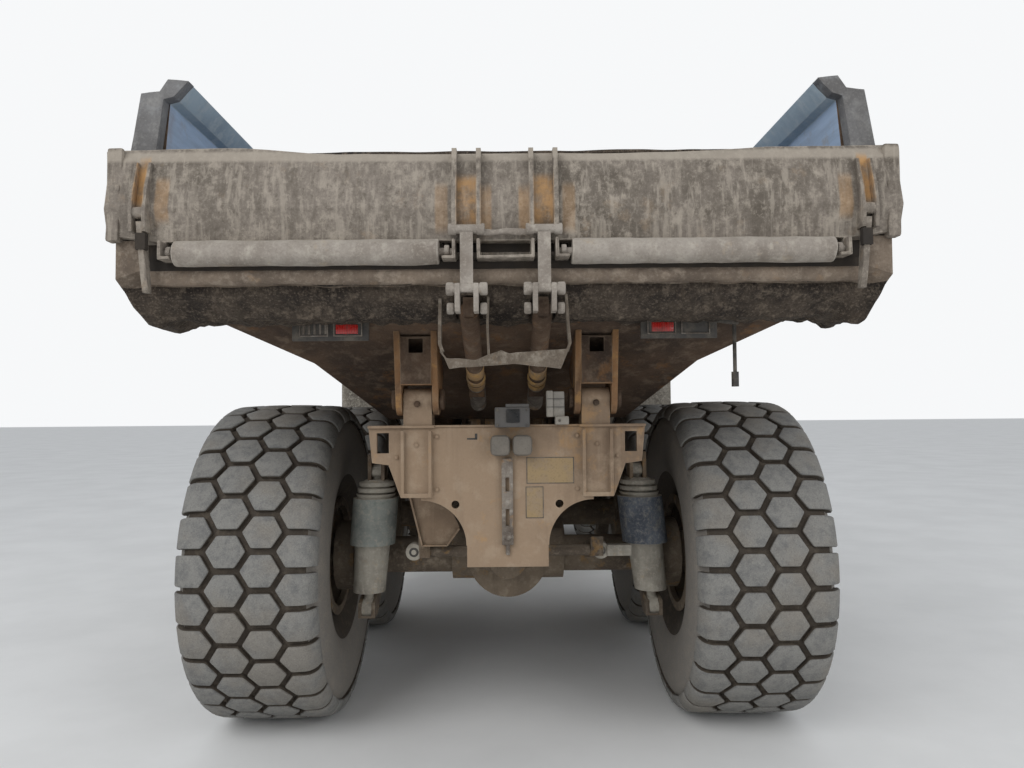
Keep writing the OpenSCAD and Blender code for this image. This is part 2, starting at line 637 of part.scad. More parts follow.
module cab_holes() {
    // windscreen, rear, right side and the door opening on the left
    bx(-cab_w / 2 + 90, cab_w / 2 - 90, cab_y1 - 330, cab_y1 + 100, 2560, cab_z1 - 110);
    bx(-cab_w / 2 + 90, cab_w / 2 - 90, cab_y0 - 50, cab_y0 + 160, 2560, cab_z1 - 110);
    bx(cab_w / 2 - 100, cab_w / 2 + 10, cab_y0 + 170, cab_y1 - 340, 2500, cab_z1 - 110);
    bx(-cab_w / 2 - 10, -cab_w / 2 + 100, door_y0, door_y1 - 160, door_z0 + 20, cab_z1 - 80);
}
module cab_shell() color(fc) from_rear() {
    door_pins();
    difference() {
    yz(-cab_w / 2, cab_w / 2) cab_profile();
    yz(-cab_w / 2 + cab_t, cab_w / 2 - cab_t) polygon([[cab_y0 + cab_t, cab_z0 + cab_t],
        [cab_y1 - cab_t, cab_z0 + cab_t], [cab_y1 + 8, 2450], [cab_y1 - 300, cab_z1 + 10],
        [cab_y0 + 110, cab_z1 + 10], [cab_y0 + cab_t, 2500]]);
    cab_holes();
    }
}
// door hinge: pins on the cab, sleeves on the door
door_hx = -cab_w / 2 - 32;
door_hy = door_y0 - 45;
door_hz = [2200, 3100];
module door_pins() for (z = door_hz) {
    bx(door_hx - 15, -cab_w / 2, door_hy - 15, door_hy + 15, z, z + 30);
    zcyl(z + 30, z + 110, door_hx, door_hy, 10);
}
module cab_roof() color(fc) from_rear() {
    yz(-cab_w / 2 - 30, cab_w / 2 + 30) polygon([[cab_y0 - 20, cab_z1], [cab_y1 - 160, cab_z1],
        [cab_y1 - 200, cab_z1 + 130], [cab_y0 + 60, cab_z1 + 150]]);
}
module cab_glass() color([0.2, 0.3, 0.3]) from_rear() {
    w = cab_w / 2 - 90;
    yz(-w, w) polygon([[cab_y1 + 20, 2562], [cab_y1 + 12, 2562], [cab_y1 - 237, cab_z1 - 112],
        [cab_y1 - 229, cab_z1 - 112]]);
    yz(-w, w) polygon([[cab_y0 + 12, 2562], [cab_y0 + 20, 2562], [cab_y0 + 66, cab_z1 - 112],
        [cab_y0 + 58, cab_z1 - 112]]);
    bx(cab_w / 2 - 30, cab_w / 2 - 22, cab_y0 + 170, cab_y1 - 340, 2500, cab_z1 - 110);
}
module cab_seat() color([0.12, 0.12, 0.14]) from_rear() {
    bx(-170, 170, 6120, 6420, cab_z0 + cab_t, 2220);
    bx(-250, 250, 6060, 6560, 2220, 2340);
    yz(-240, 240) polygon([[6060, 2340], [6180, 2340], [6080, 3000], [5980, 3000]]);
    // dashboard, column and wheel
    bx(-600, 600, 6900, 7060, cab_z0 + cab_t, 2480);
    aim([0, 6900, 2400], [0, 6640, 2640]) cylinder(r = 40, h = 330);
    aim([0, 6900, 2400], [0, 6640, 2640]) translate([0, 0, 330]) cylinder(r = 230, h = 30);
}
module cab_door() color(fc) from_rear() {
    x0 = -cab_w / 2 - gap - 40;
    difference() {
        bx(x0, x0 + 40, door_y0 - 20, door_y1 - 120, door_z0, cab_z1 - 60);
        bx(x0 - 5, x0 + 45, door_y0 + 70, door_y1 - 210, 2450, cab_z1 - 150);
    }
    for (z = door_hz) difference() {
        union() {
            zcyl(z + 30, z + 100, door_hx, door_hy, 20);
            bx(door_hx - 10, door_hx + 10, door_hy, door_y0 - 20, z + 30, z + 100);
        }
        zcyl(z, z + 120, door_hx, door_hy, 10 + fit);
    }
}
module door_glass() color([0.2, 0.3, 0.3]) from_rear()
    bx(-cab_w / 2 - gap - 24, -cab_w / 2 - gap - 16, door_y0 + 70, door_y1 - 210, 2450, cab_z1 - 150);
module mirrors() color([0.1, 0.1, 0.1]) from_rear() both() {
    bx(1480, 1740, 7610, 7670, 2350, 2850);
    zcyl(1880, 2400, 1470, 7640, 22);
    bx(1470, 1490, 7620, 7660, 2370, 2400);
}
pipe_x = cab_w / 2 + 190;
module exhaust() color([0.3, 0.25, 0.2]) from_rear() {
    zcyl(2060, 3600, pipe_x, cab_y0 + 80, 75);
    zcyl(2300, 3100, pipe_x, cab_y0 + 80, 120);
    bx(cab_w / 2, pipe_x + 120, cab_y0 + 20, cab_y0 + 140, 2010, 2110);
}
module side_tanks() color(fc) from_rear() {
    both() bx(620, 1450, 4870, 5370, 1150, 1900);
}
module front_lamps() color([0.8, 0.8, 0.75]) from_rear() both()
    for (x = [760, 980]) bx(x, x + 180, hood_y + 20, hood_y + 100, 1140, 1290);
hood_py = hood_y - 40;
hood_pz = 1940;
grille_py = hood_y - 15;
grille_pz = 1165;
module hood() color(fc) from_rear() {
    both() xcyl(560 - 12, hood_x - 20, hood_py, hood_pz, 12);
    difference() {
        intersection() {
            yz(-hood_x, hood_x) polygon([[cab_y1 + 100, 1900], [hood_y, 1900], [hood_y, 2080],
                [hood_y - 120, 2240], [cab_y1 + 100, hood_z]]);
            xz(7200, hood_y) polygon([[-hood_x, 1900], [hood_x, 1900], [hood_x, 2300],
                [hood_x - 120, hood_z], [-hood_x + 120, hood_z], [-hood_x, 2300]]);
        }
        intersection() {
            yz(-hood_x + 25, hood_x - 25) polygon([[7200, 1890], [hood_y - 25, 1890],
                [hood_y - 25, 2070], [hood_y - 130, 2215], [7200, hood_z - 25]]);
            xz(7190, hood_y) polygon([[-hood_x + 25, 1880], [hood_x - 25, 1880], [hood_x - 25, 2288],
                [hood_x - 130, hood_z - 25], [-hood_x + 130, hood_z - 25], [-hood_x + 25, 2288]]);
        }
        // slots for the hinge posts
        bx2(545, 605, hood_y - 30, hood_y + 5, 1890, hood_pz + 50);
        // slots of the side louvres
        for (i = [0:6]) bx(-hood_x - 5, hood_x + 5, 7560 + i * 130, 7630 + i * 130, 2010, 2200);
    }
}
module grille() color([0.15, 0.15, 0.15]) from_rear() {
    difference() {
        bx(-hood_x + 20, hood_x - 20, hood_y - 22, hood_y, 1195, 1878);
        for (i = [0:8]) bx(-hood_x + 80, hood_x - 80, hood_y - 70, hood_y + 10, 1250 + i * 66,
            1285 + i * 66);
    }
    xcyl(-328, 328, grille_py, grille_pz, 10);
    both() bx(200, 290, grille_py - 7, grille_py + 15, grille_pz - 8, 1195);
}

// Cylinders
tipc_x = 235;
tipc_f = [2700, 1150];
tipc_b = [600, 1600];
tipc_l = norm(tipc_b - tipc_f);
steer_z = 930;
steer_e = [300, 4990];
steer_p = [560, 6160];
steer_l = norm(steer_e - steer_p);
module ram_barrel(r, l, pin, depth) difference() {
    union() {
        xcyl(-28, 28, 0, 0, r * 0.8);
        cylinder(r = 26, h = r * 1.3);
        translate([0, 0, r * 1.2]) cylinder(r = r, h = l - r * 1.2);
    }
    xcyl(-200, 200, 0, 0, pin + fit);
    translate([0, 0, l - depth]) cylinder(r = r * 0.55 + fit, h = depth + 40);
}
module ram_rod(r, l, total, depth, eye) {
    translate([0, 0, l - depth + 20]) cylinder(r = r * 0.55, h = total - l + depth - 20 - r * 0.5);
    translate([0, 0, total]) xcyl(-eye, eye, 0, 0, r * 0.72);
}
module tip_place() both() aim([tipc_x, tipc_f[0], tipc_f[1]], [tipc_x, tipc_b[0], tipc_b[1]])
    children();
module tip_barrels() color([0.25, 0.25, 0.25]) from_rear() tip_place() ram_barrel(85, 1880, 35, 1700);
module tip_rods() color([0.75, 0.75, 0.75]) from_rear() tip_place() ram_rod(85, 1880, tipc_l, 1700, 46);
module steer_place() translate([steer_p[0], steer_p[1], steer_z])
    rotate([0, 0, -atan2(steer_e[0] - steer_p[0], steer_e[1] - steer_p[1])])
    rotate([-90, 0, 0]) rotate([0, 0, 90]) children();
module steer_barrel_right() color([0.25, 0.25, 0.25]) from_rear() steer_place() ram_barrel(62, 800, 25, 600);
module steer_barrel_left() mirror([1, 0, 0]) steer_barrel_right();
module steer_rod_right() color([0.75, 0.75, 0.75]) from_rear() steer_place()
    ram_rod(62, 800, steer_l, 360, 34);
module steer_rod_left() mirror([1, 0, 0]) steer_rod_right();

// Wheels, drawn with their outer side to +X
lugs = 20;
module tyre_case() rotate([0, 90, 0]) rotate_extrude($fn = 24) {
    h = tyre_w / 2;
    polygon([[rim_r, -290], [rim_r + 42, -290], [rim_r + 235, -h], [wheel_r - 78, -h + 24],
        [wheel_r - lug_h, -h + 62], [wheel_r - lug_h, h - 62], [wheel_r - 78, h - 24],
        [rim_r + 235, h], [rim_r + 42, 290], [rim_r, 290], [rim_r, 240], [rim_r + 235, h - 50],
        [wheel_r - 110, h - 76], [wheel_r - 110, -h + 76], [rim_r + 235, -h + 50], [rim_r, -240]]);
}
// tread: one shoulder lug and one inner lug a side, turned half a step against the other side
lug_h = 34;
module lug() {
    h = tyre_w / 2;
    yz(0, h - 44) polygon([[-62, wheel_r - 60], [58, wheel_r - 60], [58, wheel_r - 6],
        [0, wheel_r], [-62, wheel_r - 6]]);
}
module tyre() color([0.12, 0.12, 0.12]) {
    tyre_case();
    for (i = [0:lugs - 1], s = [0, 1]) rotate([(i + s / 2) * 360 / lugs, 0, 0]) mirror([s, 0, 0])
        lug();
}
module rim() color(fc) difference() {
    union() {
        rotate([0, 90, 0]) rotate_extrude() polygon([[rim_r - 20, -305], [rim_r + 36, -305],
            [rim_r + 36, -290], [rim_r, -290], [rim_r, 290], [rim_r + 36, 290],
            [rim_r + 36, 305], [rim_r - 20, 305]]);
        xcyl(60, 85, 0, 0, rim_r - 20);
        xcyl(-120, 230, 0, 0, 215);
    }
    xcyl(-400, -20, 0, 0, spindle_r + fit);
}
module at_wheel(s, y) from_rear() translate([s * wheel_x, y, wheel_r])
    mirror([s < 0 ? 1 : 0, 0, 0]) children();
module tyre_rear_right() at_wheel(1, 0) tyre();
module tyre_rear_left() at_wheel(-1, 0) tyre();
module tyre_mid_right() at_wheel(1, mid_y) tyre();
module tyre_mid_left() at_wheel(-1, mid_y) tyre();
module tyre_front_right() at_wheel(1, fax_y) tyre();
module tyre_front_left() at_wheel(-1, fax_y) tyre();
module rim_rear_right() at_wheel(1, 0) rim();
module rim_rear_left() at_wheel(-1, 0) rim();
module rim_mid_right() at_wheel(1, mid_y) rim();
module rim_mid_left() at_wheel(-1, mid_y) rim();
module rim_front_right() at_wheel(1, fax_y) rim();
module rim_front_left() at_wheel(-1, fax_y) rim();

rear_frame();
rear_plate();
bogie_axles();
bogie_struts();
bogie_links();
tow_gear();
bed_floor();
bed_side_left();
bed_side_right();
bed_headboard();
bed_tail_beam();
bed_rails();
bed_lamps();
bed_flaps();
bed_guard();
gate_rods();
tailgate_panel();
tailgate_ribs();
tailgate_tubes();
tailgate_straps();
hitch();
front_frame();
front_axle();
engine();
front_bumper();
front_fenders();
cab_steps();
cab_shell();
cab_roof();
cab_glass();
cab_seat();
cab_door();
door_glass();
mirrors();
exhaust();
side_tanks();
front_lamps();
hood();
grille();
tip_barrels();
tip_rods();
steer_barrel_left();
steer_barrel_right();
steer_rod_left();
steer_rod_right();
tyre_front_left();
tyre_front_right();
tyre_mid_left();
tyre_mid_right();
tyre_rear_left();
tyre_rear_right();
rim_front_left();
rim_front_right();
rim_mid_left();
rim_mid_right();
rim_rear_left();
rim_rear_right();
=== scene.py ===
"""Dresses the articulated dump truck: finishes, tyres, worked steel, bolts, mud, floor, light and camera."""

from __future__ import annotations

import json
import logging
import math
from dataclasses import dataclass
from enum import Enum
from typing import Callable, Iterable, Sequence

import bmesh
import bpy
from mathutils import Matrix, Vector, noise

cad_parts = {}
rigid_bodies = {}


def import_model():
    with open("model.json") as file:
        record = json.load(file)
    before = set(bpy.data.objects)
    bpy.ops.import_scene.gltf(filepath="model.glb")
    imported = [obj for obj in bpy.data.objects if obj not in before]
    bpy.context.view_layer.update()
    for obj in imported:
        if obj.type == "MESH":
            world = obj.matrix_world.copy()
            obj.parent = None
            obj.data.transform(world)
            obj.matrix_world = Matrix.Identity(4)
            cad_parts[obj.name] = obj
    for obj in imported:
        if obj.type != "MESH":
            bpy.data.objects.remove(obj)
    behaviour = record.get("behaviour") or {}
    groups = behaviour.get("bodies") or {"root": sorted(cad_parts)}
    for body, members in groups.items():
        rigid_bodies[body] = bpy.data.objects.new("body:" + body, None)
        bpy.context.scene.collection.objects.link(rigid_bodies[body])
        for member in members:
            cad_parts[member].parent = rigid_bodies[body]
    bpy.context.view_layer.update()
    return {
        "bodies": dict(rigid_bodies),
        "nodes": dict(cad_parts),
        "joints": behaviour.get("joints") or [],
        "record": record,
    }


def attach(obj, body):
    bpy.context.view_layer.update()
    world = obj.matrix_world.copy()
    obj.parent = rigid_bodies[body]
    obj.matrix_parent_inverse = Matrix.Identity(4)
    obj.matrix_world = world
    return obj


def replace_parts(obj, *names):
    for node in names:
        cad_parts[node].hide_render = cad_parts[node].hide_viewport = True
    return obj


LOG = logging.getLogger("dump_truck")
RGB = tuple[float, float, float]
BMesh = bmesh.types.BMesh
Material = bpy.types.Material
Socket = bpy.types.NodeSocket
Slab = tuple[float, float, float, float, float, float, float]

# Places: the rear axle and the rear face of the frame's end plate along y, the rails' underside in height
REAR_AXLE_Y = -3.860
PLATE_Y = REAR_AXLE_Y - 1.050
RAIL_Z = 3.170

# How far the rear posts are raised and moved backwards
POST_RISE = 0.038
POST_BACK = 0.045

# The fold past which an edge of a worked copy is rolled over, and the distance that merges its vertices
FOLD = math.radians(28.0)
MERGE = 2e-5

# The mesh's mark of worn faces and its value on tyre walls, and the noise's seed
SEED = 7
WEAR = "wear"
WALL = 0.5


class Side(Enum):
    """The two sides of the truck, by the sign of x."""

    LEFT = -1
    RIGHT = 1


SIDES = tuple(side.value for side in Side)


class Axis(Enum):
    """The way a round part lies, by the quarter turn that brings +Z to it."""

    X = (math.pi / 2, "Y")
    Y = (-math.pi / 2, "X")

    def turn(self) -> Matrix:
        """The quarter turn as a matrix."""
        angle, about = self.value
        return Matrix.Rotation(angle, 4, about)


# Finishes


class Graph:
    """A material's node tree with short calls for the nodes that the finishes share."""

    def __init__(self, name: str) -> None:
        """Makes the material and its shader.

        Args:
            name: the material's name.
        """
        self.material = bpy.data.materials.new(name)
        self.material.use_nodes = True
        self.tree = self.material.node_tree
        self.shader = self.tree.nodes["Principled BSDF"]
        self.place = self.tree.nodes.new("ShaderNodeTexCoord")

    def feed(self, target: Socket, value: Socket | RGB | float) -> None:
        """Links a socket to an input, or sets the input to a plain value."""
        if isinstance(value, Socket):
            self.tree.links.new(value, target)
        else:
            target.default_value = (*value, 1.0) if target.type == "RGBA" else value

    def node(self, kind: str, **inputs: Socket | RGB | float) -> bpy.types.Node:
        """Adds a node.

        Args:
            kind: its type, without the words that all types start with.
            inputs: what its inputs are fed with, by their names.

        Returns:
            The node.
        """
        made = self.tree.nodes.new("ShaderNode" + kind)
        for name, value in inputs.items():
            self.feed(made.inputs[name], value)
        return made

    def noise(self, scale: float, detail: float = 4.0, rough: float = 0.6,
              stretch: RGB = (1.0, 1.0, 1.0), offset: RGB = (0.0, 0.0, 0.0)) -> Socket:
        """Noise on Object coordinates.

        Args:
            scale: grains a metre.
            detail: octaves.
            rough: weight of the fine octaves.
            stretch: scale of the pattern along each axis.
            offset: shift of the pattern, to part one noise from another.

        Returns:
            The noise's factor socket.
        """
        mapping = self.node("Mapping", Vector=self.place.outputs["Object"], Scale=stretch, Location=offset)
        return self.node("TexNoise", Vector=mapping.outputs[0], Scale=scale, Detail=detail,
                         Roughness=rough).outputs[0]

    def cells(self, scale: float) -> Socket:
        """Distance inside the cells of a Voronoi pattern, for grit and clods."""
        return self.node("TexVoronoi", Vector=self.place.outputs["Object"], Scale=scale).outputs["Distance"]

    def spread(self, value: Socket, low: float, high: float, out_low: float = 0.0,
               out_high: float = 1.0) -> Socket:
        """Smooth step of a value.

        Args:
            value: what is read.
            low: value that gives out_low.
            high: value that gives out_high.
            out_low: result at or under low.
            out_high: result at or over high.

        Returns:
            The result's socket.
        """
        node = self.node("MapRange")
        node.interpolation_type = "SMOOTHSTEP"
        for target, number in zip(node.inputs, (value, low, high, out_low, out_high)):
            self.feed(target, number)
        return node.outputs[0]

    def times(self, a: Socket, b: Socket | float, operation: str = "MULTIPLY") -> Socket:
        """One value by another, or another plain sum."""
        node = self.node("Math")
        node.operation = operation
        self.feed(node.inputs[0], a)
        self.feed(node.inputs[1], b)
        return node.outputs[0]

    def mix(self, share: Socket, a: Socket | RGB, b: Socket | RGB) -> Socket:
        """Two colours, by a share of the second."""
        node = self.node("Mix")
        node.data_type = "RGBA"
        for number, value in ((0, share), (6, a), (7, b)):
            self.feed(node.inputs[number], value)
        return node.outputs[2]

    def films(self, colour: Socket | RGB, *rows: tuple[RGB, Socket, float, float, float]) -> Socket:
        """Lays thin films of colour on another, one after the other.

        Args:
            colour: what lies below.
            rows: each film's colour, the pattern that it follows, the pattern's values where the film
                starts and where it is full, and its share there.

        Returns:
            The result's socket.
        """
        for over, pattern, low, high, share in rows:
            colour = self.mix(self.times(self.spread(pattern, low, high), share), colour, over)
        return colour

    def part(self, axis: int, output: str = "Object") -> Socket:
        """One of the three numbers of a point's place, or of the face's normal there."""
        return self.node("SeparateXYZ", Vector=self.place.outputs[output]).outputs[axis]

    def band(self, axis: int, centre: float, half: float, soft: float = 0.012) -> Socket:
        """A soft-edged stripe on both sides of the truck's middle, or across one height.

        Args:
            axis: 0, 1 or 2 for x, y or z; x is taken without its sign.
            centre: middle of the stripe.
            half: half its width.
            soft: width over which it fades out.

        Returns:
            The stripe's share.
        """
        value = self.part(axis)
        if axis == 0:
            value = self.times(value, 1.0, "ABSOLUTE")
        away = self.times(self.times(value, -centre, "ADD"), 1.0, "ABSOLUTE")
        return self.spread(away, half + soft, half)

    def wear(self) -> Socket:
        """The mesh's own mark of worn edges or tread tops."""
        node = self.node("Attribute")
        node.attribute_name = WEAR
        return node.outputs["Fac"]

    def upward(self) -> Socket:
        """How far a face looks up in the piece's own rest place."""
        return self.part(2, "Normal")

    def bump(self, height: Socket, strength: float, distance: float) -> None:
        """Lays a height pattern on the shader's normal."""
        node = self.node("Bump", Height=height, Strength=strength, Distance=distance)
        self.feed(self.shader.inputs["Normal"], node.outputs[0])

    def close(self, colour: Socket | RGB, roughness: Socket | float, metallic: float = 0.0,
              specular: float = 0.3) -> None:
        """Feeds the shader.

        Args:
            colour: base colour, a socket or a plain colour.
            roughness: a socket or a plain number.
            metallic: share of metal.
            specular: level of gloss.
        """
        for name, value in (("Base Color", colour), ("Roughness", roughness), ("Metallic", metallic),
                            ("Specular IOR Level", specular)):
            self.feed(self.shader.inputs[name], value)


@dataclass(frozen=True)
class Finish:
    """The recipe of a material."""

    name: str

    def make(self) -> Material:
        """Builds the material.

        Returns:
            The finished material.
        """
        g = Graph(self.name)
        self.lay(g)
        return g.material

    def lay(self, g: Graph) -> None:
        """Lays the recipe's patterns and feeds the shader.

        Args:
            g: the material in work.
        """
        raise NotImplementedError


@dataclass(frozen=True)
class Grime(Finish):
    """Painted or bare steel under dust, streaks, dried mud and grit.

    base is the dried film, light the dust, dark the damp dirt, bare what shows through.
    """

    base: RGB
    light: RGB
    dark: RGB
    bare: RGB
    bare_share: float = 0.25
    patch: float = 1.6
    streak: float = 0.35
    dust: float = 0.5
    grit: float = 0.5
    bump: float = 0.5
    roughness: float = 0.88

    def lay(self, g: Graph) -> None:
        """Lays dust, bare spots, runs, pale streaks and grit on the film, then dust on faces that look up."""
        broad = g.noise(self.patch, 7, 0.62)
        middle = g.noise(self.patch * 6.5, 8, 0.68, offset=(3.1, 1.7, 0.4))
        fine = g.noise(95.0, 5, 0.7)
        runs = g.noise(5.5, 5, 0.6, stretch=(2.4, 2.4, 0.16), offset=(0.3, 5.2, 2.2))
        pale = g.noise(7.0, 5, 0.6, stretch=(2.2, 2.2, 0.12), offset=(9.3, 1.2, 4.2))
        reveal = g.noise(self.patch * 3.1, 9, 0.72, offset=(7.0, 2.0, 9.0))
        shown = 0.24 * self.bare_share
        colour = g.films(g.mix(g.spread(broad, 0.34, 0.60), self.dark, self.base),
                         (self.light, middle, 0.48, 0.68, 0.75),
                         (self.bare, reveal, 0.60 - shown, 0.70 - shown, min(1.0, 0.45 + self.bare_share)),
                         (self.dark, runs, 0.50, 0.66, self.streak),
                         (self.light, pale, 0.56, 0.70, self.streak * 0.8),
                         (self.dark, fine, 0.53, 0.72, 0.55 * self.grit),
                         (self.light, fine, 0.47, 0.33, 0.40 * self.grit),
                         (self.light, g.upward(), 0.45, 0.95, self.dust))
        edge = g.times(g.wear(), g.spread(middle, 0.36, 0.56))
        colour = self.tint(g, g.mix(g.times(edge, 0.75), colour, self.light), middle)
        height = g.times(g.times(middle, 0.8), g.times(fine, 0.35), "ADD")
        height = g.times(height, g.times(g.cells(38.0), -0.22 * self.grit), "ADD")
        g.bump(height, 0.75 * self.bump, 0.014)
        g.close(colour, g.spread(middle, 0.3, 0.7, self.roughness - 0.1, min(1.0, self.roughness + 0.08)),
                specular=0.22)

    def tint(self, g: Graph, colour: Socket, grain: Socket) -> Socket:
        """Lays further colour on the film; the plain finish has none."""
        return colour


@dataclass(frozen=True)
class StreakedGrime(Grime):
    """Grime with old paint that shows in upright stripes.

    Each stripe is (middle, half width) across, its strength, then (middle, half height). The rim is the
    (middle, half height) of the dusty line along the top edge.
    """

    stripes: tuple[tuple[float, float, float, float, float], ...] = ()
    paint: RGB = (0.45, 0.265, 0.118)
    rim: tuple[float, float] = (2.888, 0.014)

    def tint(self, g: Graph, colour: Socket, grain: Socket) -> Socket:
        """Shows the paint in the stripes, broken by the film's grain."""
        mottle = g.noise(42.0, 6, 0.75, offset=(1.4, 3.3, 6.1))
        streaks = g.noise(34.0, 5, 0.65, stretch=(1.0, 1.0, 0.08), offset=(4.2, 0.7, 2.8))
        colour = g.films(colour, (self.dark, mottle, 0.52, 0.66, 0.6), (self.light, mottle, 0.47, 0.34, 0.5),
                         (self.light, streaks, 0.50, 0.64, 0.55), (self.dark, streaks, 0.46, 0.34, 0.4))
        colour = g.mix(g.times(g.band(2, *self.rim, 0.02), 0.75), colour, self.light)
        for centre, half, strength, height, reach in self.stripes:
            share = g.times(g.times(g.band(0, centre, half), g.band(2, height, reach, 0.05)),
                            g.spread(grain, 0.36, 0.60, 0.25, strength))
            colour = g.mix(share, colour, self.paint)
        return colour


@dataclass(frozen=True)
class WornSheet(Finish):
    """Steel that loads have scoured: a cold grey-blue sheen with rust and scratches."""

    name: str = "scoured_steel"
    steel: RGB = (0.31, 0.40, 0.53)
    scratch: RGB = (0.22, 0.27, 0.34)
    rust: RGB = (0.22, 0.14, 0.085)
    dust: RGB = (0.30, 0.27, 0.23)

    def lay(self, g: Graph) -> None:
        """Lays long scratches, rust and dust on the steel."""
        broad = g.noise(1.1, 8, 0.65)
        drags = g.noise(30.0, 6, 0.6, stretch=(1.0, 0.06, 0.5))
        middle = g.noise(8.0, 8, 0.7, offset=(2.0, 8.0, 5.0))
        colour = g.films(self.steel, (self.scratch, drags, 0.42, 0.62, 0.5),
                         (self.rust, broad, 0.56, 0.70, 0.6), (self.dust, middle, 0.55, 0.72, 0.6))
        g.bump(g.times(drags, middle, "ADD"), 0.25, 0.006)
        g.close(colour, g.spread(middle, 0.3, 0.7, 0.42, 0.75), metallic=0.1, specular=0.4)


@dataclass(frozen=True)
class DustyRubber(Finish):
    """Tyre rubber: grey tops where the tread meets the road, grooves whose near-black ground is painted shade
    under brown dust, and brown dust on the walls.
    """

    name: str = "tyre_rubber"
    top: RGB = (0.215, 0.210, 0.196)
    top_worn: RGB = (0.155, 0.154, 0.150)
    top_dust: RGB = (0.215, 0.192, 0.162)
    # Painted shade: the grooves' near-black ground stands in for the shade in them; the dust laid on it is
    # real.
    groove_shade: RGB = (0.060, 0.048, 0.037)
    groove_dust: RGB = (0.14, 0.115, 0.088)
    wall: RGB = (0.205, 0.188, 0.168)
    wall_dust: RGB = (0.28, 0.25, 0.21)
    pits: RGB = (0.085, 0.080, 0.072)
    grains: RGB = (0.33, 0.315, 0.28)

    def lay(self, g: Graph) -> None:
        """Parts grooves, walls and tops by the mesh's mark, then lays pits and pale grains on all."""
        broad = g.noise(2.3, 6, 0.6)
        middle = g.noise(17.0, 8, 0.72, offset=(4.0, 4.0, 1.0))
        fine = g.noise(140.0, 4, 0.7)
        low = g.films(self.groove_shade, (self.groove_dust, middle, 0.46, 0.66, 0.55))
        wall = g.films(self.wall, (self.wall_dust, middle, 0.44, 0.66, 0.5))
        low = g.mix(g.spread(g.wear(), 0.3, 0.45), low, wall)
        top = g.mix(g.spread(middle, 0.42, 0.66), self.top, self.top_worn)
        top = g.films(top, (self.top_dust, broad, 0.46, 0.62, 0.6))
        colour = g.films(g.mix(g.spread(g.wear(), 0.6, 0.9), low, top), (self.pits, fine, 0.52, 0.70, 0.5))
        share = g.times(g.times(g.spread(fine, 0.46, 0.32), 0.4), g.spread(g.wear(), 0.2, 0.9, 0.2, 1.0))
        colour = g.mix(share, colour, self.grains)
        g.bump(g.times(middle, g.times(fine, 0.4), "ADD"), 0.5, 0.008)
        g.close(colour, g.spread(middle, 0.3, 0.7, 0.72, 0.95), specular=0.25)


@dataclass(frozen=True)
class Plain(Finish):
    """A smaller part's finish: one colour broken by dust and fine grain."""

    colour: RGB
    dust: RGB = (0.25, 0.215, 0.17)
    share: float = 0.4
    roughness: float = 0.6
    metallic: float = 0.0

    def lay(self, g: Graph) -> None:
        """Lays patches of dust, dust on faces that look up and dark grain on the colour."""
        middle = g.noise(9.0, 7, 0.68)
        fine = g.noise(120.0, 3, 0.6)
        colour = g.films(self.colour, (self.dust, middle, 0.42, 0.66, self.share),
                         (self.dust, g.upward(), 0.3, 0.95, self.share * 1.2),
                         (shade(self.colour, 0.55), fine, 0.52, 0.7, 0.35))
        g.bump(g.times(middle, g.times(fine, 0.4), "ADD"), 0.25, 0.006)
        g.close(colour, g.spread(middle, 0.35, 0.65, self.roughness - 0.12, min(1.0, self.roughness + 0.2)),
                metallic=self.metallic)


def shade(colour: RGB, share: float) -> RGB:
    """A colour made darker or lighter by a share of itself."""
    return tuple(c * share for c in colour)


@dataclass(frozen=True)
class Pane(Finish):
    """Window glass with a thin film of dust."""

    name: str = "window_glass"
    tint: RGB = (0.60, 0.68, 0.66)
    dust: RGB = (0.42, 0.37, 0.30)

    def lay(self, g: Graph) -> None:
        """Lays the film on the tinted glass."""
        film = g.noise(4.0, 8, 0.7)
        g.shader.inputs["Transmission Weight"].default_value = 0.85
        g.shader.inputs["IOR"].default_value = 1.45
        g.close(g.films(self.tint, (self.dust, film, 0.45, 0.75, 0.5)), g.spread(film, 0.4, 0.7, 0.04, 0.3),
                specular=0.5)


@dataclass(frozen=True)
class Lens(Finish):
    """A lamp's ribbed lens."""

    colour: RGB
    dirt: RGB = (0.10, 0.08, 0.065)

    def lay(self, g: Graph) -> None:
        """Lays the ribs' shadows and dirt on the colour."""
        wave = g.node("TexWave", Vector=g.place.outputs["Object"], Scale=28.0)
        film = g.noise(22.0, 6, 0.7)
        colour = g.films(self.colour, (shade(self.colour, 0.35), wave.outputs["Fac"], 0.3, 0.8, 0.4),
                         (self.dirt, film, 0.45, 0.7, 0.6))
        g.shader.inputs["Coat Weight"].default_value = 0.3
        g.close(colour, g.spread(film, 0.4, 0.7, 0.2, 0.8), specular=0.5)


@dataclass(frozen=True)
class SeatCloth(Finish):
    """Woven cloth of the driver's seat."""

    name: str = "seat_cloth"
    colour: RGB = (0.035, 0.037, 0.045)

    def lay(self, g: Graph) -> None:
        """Crosses two threads' patterns."""
        warp = g.noise(420.0, 1, 0.4, stretch=(1.0, 0.2, 0.2))
        weft = g.noise(420.0, 1, 0.4, stretch=(0.2, 1.0, 1.0))
        weave = g.times(warp, weft, "ADD")
        g.bump(weave, 0.3, 0.002)
        g.shader.inputs["Sheen Weight"].default_value = 0.3
        g.close(g.mix(g.spread(weave, 0.9, 1.15), self.colour, shade(self.colour, 2.2)), 0.95)


@dataclass(frozen=True)
class PaleFloor(Finish):
    """The studio's floor with a faint grain."""

    name: str = "pale_floor"
    dim: RGB = (0.80, 0.80, 0.79)
    bright: RGB = (0.86, 0.86, 0.85)

    def lay(self, g: Graph) -> None:
        """Mixes the two tones of the floor."""
        grain = g.noise(0.8, 6, 0.6)
        g.close(g.mix(g.spread(grain, 0.3, 0.7), self.dim, self.bright), 0.9, specular=0.1)


